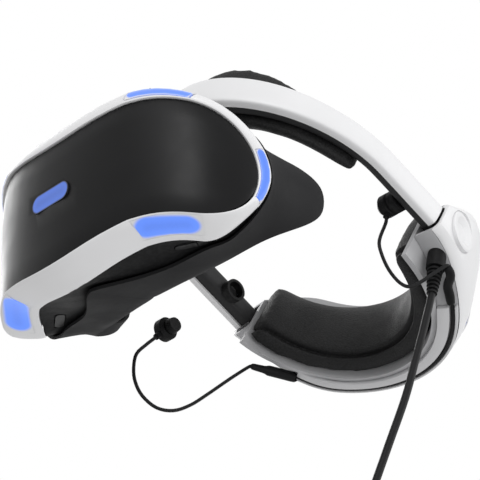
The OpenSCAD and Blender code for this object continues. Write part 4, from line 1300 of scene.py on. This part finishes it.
@dataclass
class Optics:
    """Lens mask, lenses, display and board inside the visor."""

    pitch: float = 0.063
    height: float = 0.0

    def build(self) -> None:
        """Dress the optics."""
        Bench.paint(RUBBER, "lens_mask")
        Bench.paint(KEY, "proximity_window")
        Bench.paint(BLACK, "lens_barrel_left", "lens_barrel_right", "display_tray")
        for side in Side:
            node = f"lens_{side.name.lower()}"
            centre = (side.value * self.pitch / 2, self.height)
            Bench.paint(LensGlass(f"stepped_{node}", centre), node)
        Bench.paint(SCREEN, "display_panel")
        Bench.paint(BOARD, "main_board")


@dataclass
class Headband:
    """White band, liner, brow bracket, toothed straps and earbud sockets."""

    band_crease: float = 60.0
    bracket_bevel: float = 0.0005

    def build(self) -> None:
        """Make the smooth band and liner, and dress the rest."""
        Bench.skin("band_shell", Body.HEADBAND, WHITE, "white_shell", 2, self.band_crease)
        Bench.skin("band_liner", Body.HEADBAND, LINER, "liner_grey", 2, self.band_crease)
        Bench.skin("brow_bracket", Body.HEADBAND, BLACK, "black_housing", bevel=self.bracket_bevel)
        Bench.paint(LINER, "strap_left", "strap_right")
        Bench.paint(BLACK, "bud_socket_left", "bud_socket_right")


@dataclass
class RearHalf:
    """Rear shell, its caps, inner plate, windows, dial and the fittings of the leads."""

    boot_left: tuple = ((77.662, 118.597, 1.004), (73.59, 125.16, -0.542),
                        (65.579, 131.056, -1.483), (62.798, 135.085, -4.664),
                        (59.71, 139.048, -7.1))
    left_radii: tuple = ((0.0, 1.4), (0.04, 2.1), (0.16, 2.5), (0.8, 2.6), (0.96, 2.3), (1.0, 1.5))
    boot_right: tuple = ((-62.2, 136.6, -4.6), (-62.798, 135.085, -4.664), (-64.0, 124.0, -5.2),
                         (-65.2, 114.0, -5.7), (-66.0, 107.0, -6.0))
    right_radii: tuple = ((0.0, 1.6), (0.05, 2.7), (0.12, 3.0), (0.62, 3.0), (0.68, 2.2),
                          (0.95, 1.8), (1.0, 1.2))
    boot_share: int = 6
    boot_sides: int = 20
    shell_bevel: float = 0.0004
    strip_bevel: float = 0.0003

    def build(self) -> None:
        """Make the smooth shell and plate, and dress the rest."""
        Bench.skin("rear_shell", Body.REAR, WHITE, "white_shell", bevel=self.shell_bevel)
        Bench.skin("rear_inner", Body.REAR, PLATE, "plate_grey", 2)
        windows = Bench.window("rear_lights", "rear_windows")
        Bench.settle(windows, Body.REAR, WINDOW, "light_window", "rear_lights")
        Bench.paint(WHITE, "side_caps")
        Bench.paint(DIAL, "fit_dial")
        Bench.paint(KEY, "release_button", "dial_bearing")
        for node, finish in (("rear_walls", PLATE), ("lead_rails", RAIL)):
            Bench.skin(node, Body.REAR, finish, "plate_grey", 1, bevel=self.strip_bevel)
        self._boots()
        Bench.paint(SOFT_BLACK, "cable_gland", "cable_plug", "cable_tie", "earbud_left",
                    "earbud_right")

    def _boots(self) -> None:
        """Make the moulded boots at both ends of the lead."""
        for name, route, radii in (("boot_left", self.boot_left, self.left_radii),
                                   ("boot_right", self.boot_right, self.right_radii)):
            line = Route.rounded(list(route), self.boot_share)
            at = np.linspace(0.0, 1.0, len(line))
            width = np.interp(at, [k for k, _ in radii], [r for _, r in radii]) * MM
            boot = Route.tube(name, line, width, self.boot_sides)
            Bench.settle(boot, Body.REAR, SOFT_BLACK, "cord_black", "lead_boots")


@dataclass
class Cushions:
    """The forehead and rear pads, filled by a short cloth simulation; the rear one is sewn."""

    voxel: float = 0.003
    pull_in: float = 0.0012
    pressure: float = 4.0
    frames: int = 20
    cap: float = 0.005
    flatten: float = 0.25
    held_from: float = 0.45
    ease: float = 0.5
    ease_steps: int = 12
    brow_levels: int = 1
    rear_levels: int = 2
    brow_middle: Point = (0.0, 0.075, 0.09)
    rear_middle: Point = (0.0, 0.09, 0.02)
    pad_low: float = -16.0
    pad_high: float = 9.0
    pad_lift: float = 0.016
    seam_up: float = -16.0
    seam_half: float = 1.5
    seam_depth: float = 0.0036

    def build(self) -> None:
        """Fill both pads, sew the rear one and dress them."""
        brow = Bench.copy_of("forehead_pad", "forehead_cushion")
        self._fill(brow, self.brow_middle, self.brow_levels)
        Bench.settle(brow, Body.HEADBAND, PAD, "pad_leather", "forehead_pad")
        rear = Bench.copy_of("rear_pad", "rear_cushion")
        self._raise(rear)
        self._fill(rear, self.rear_middle, self.rear_levels)
        self._sew(rear)
        Bench.settle(rear, Body.REAR, PAD, "pad_leather", "rear_pad")

    def _raise(self, piece: bpy.types.Object) -> None:
        """Draw the rear pad's upper edge up towards the top of its plate.

        Args:
            piece: A copy of the pad.
        """
        place = Bench.points(piece)
        height, way = Shell.locate(place)
        share = np.clip((height - self.pad_low) / (self.pad_high - self.pad_low), 0.0, 1.0)
        Bench.move(piece, place + self.pad_lift * share[:, None] * way)

    def _sew(self, piece: bpy.types.Object) -> None:
        """Draw the rear pad in along its seam.

        Args:
            piece: The filled pad.
        """
        place = Bench.points(piece)
        across = (Shell.locate(place)[0] - self.seam_up) / self.seam_half
        dent = self.seam_depth * np.exp(-across ** 2)
        Bench.move(piece, place - dent[:, None] * Bench.normals(piece))

    def _fill(self, piece: bpy.types.Object, middle: Point, levels: int) -> None:
        """Remesh a pad, fill it under pressure with its back held, and smooth it.

        Args:
            piece: A copy of the pad.
            middle: A point in the head, which the pad's back looks away from.
            levels: Subdivision levels.
        """
        Bench.apply(piece, "REMESH", mode="VOXEL", voxel_size=self.voxel)
        rest, normals = Bench.points(piece), Bench.normals(piece)
        away = rest - np.array(middle)
        away[:, 2] *= self.flatten
        away /= np.linalg.norm(away, axis=1)[:, None]
        back = (normals * away).sum(1) > self.held_from
        start = rest - self.pull_in * normals * ~back[:, None]
        Bench.move(piece, start)
        self._simulate(piece, back, start)
        Bench.apply(piece, "SMOOTH", factor=self.ease, iterations=self.ease_steps)
        Bench.apply(piece, "SUBSURF", levels=levels, render_levels=levels)
        Bench.only(piece)
        bpy.ops.object.shade_smooth()

    def _simulate(self, piece: bpy.types.Object, back: np.ndarray, start: np.ndarray) -> None:
        """Blow the pad up with its back held, and cap how far each point moves.

        Args:
            piece: The pad.
            back: Which of its points are held.
            start: Its points before.
        """
        held = piece.vertex_groups.new(name="held")
        held.add([int(i) for i in np.flatnonzero(back)], 1.0, "REPLACE")
        cloth = piece.modifiers.new("fill", "CLOTH")
        cloth.settings.use_pressure = True
        cloth.settings.uniform_pressure_force = self.pressure
        cloth.settings.effector_weights.gravity = 0.0
        cloth.settings.vertex_group_mass = "held"
        cloth.collision_settings.use_collision = False
        scene = bpy.context.scene
        for step in range(1, self.frames + 1):
            scene.frame_set(step)
        shaped = piece.evaluated_get(bpy.context.evaluated_depsgraph_get())
        move = Bench.points(shaped) - start
        far = np.linalg.norm(move, axis=1)[:, None]
        piece.modifiers.remove(cloth)
        piece.vertex_groups.clear()
        Bench.move(piece, start + move * np.minimum(1.0, self.cap / np.maximum(far, 1e-9)))
        scene.frame_set(1)


def main() -> None:
    """Build the scene's classes in order."""
    logging.basicConfig(level=logging.INFO, format="%(name)s: %(message)s")
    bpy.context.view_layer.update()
    Camera().build()
    Studio().build()
    for part in (Leads(), VisorFront(), VisorBody(), Optics(), Headband(), RearHalf(), Cushions()):
        part.build()
        LOG.info("%s done", type(part).__name__)


if __name__ == "__main__":
    main()
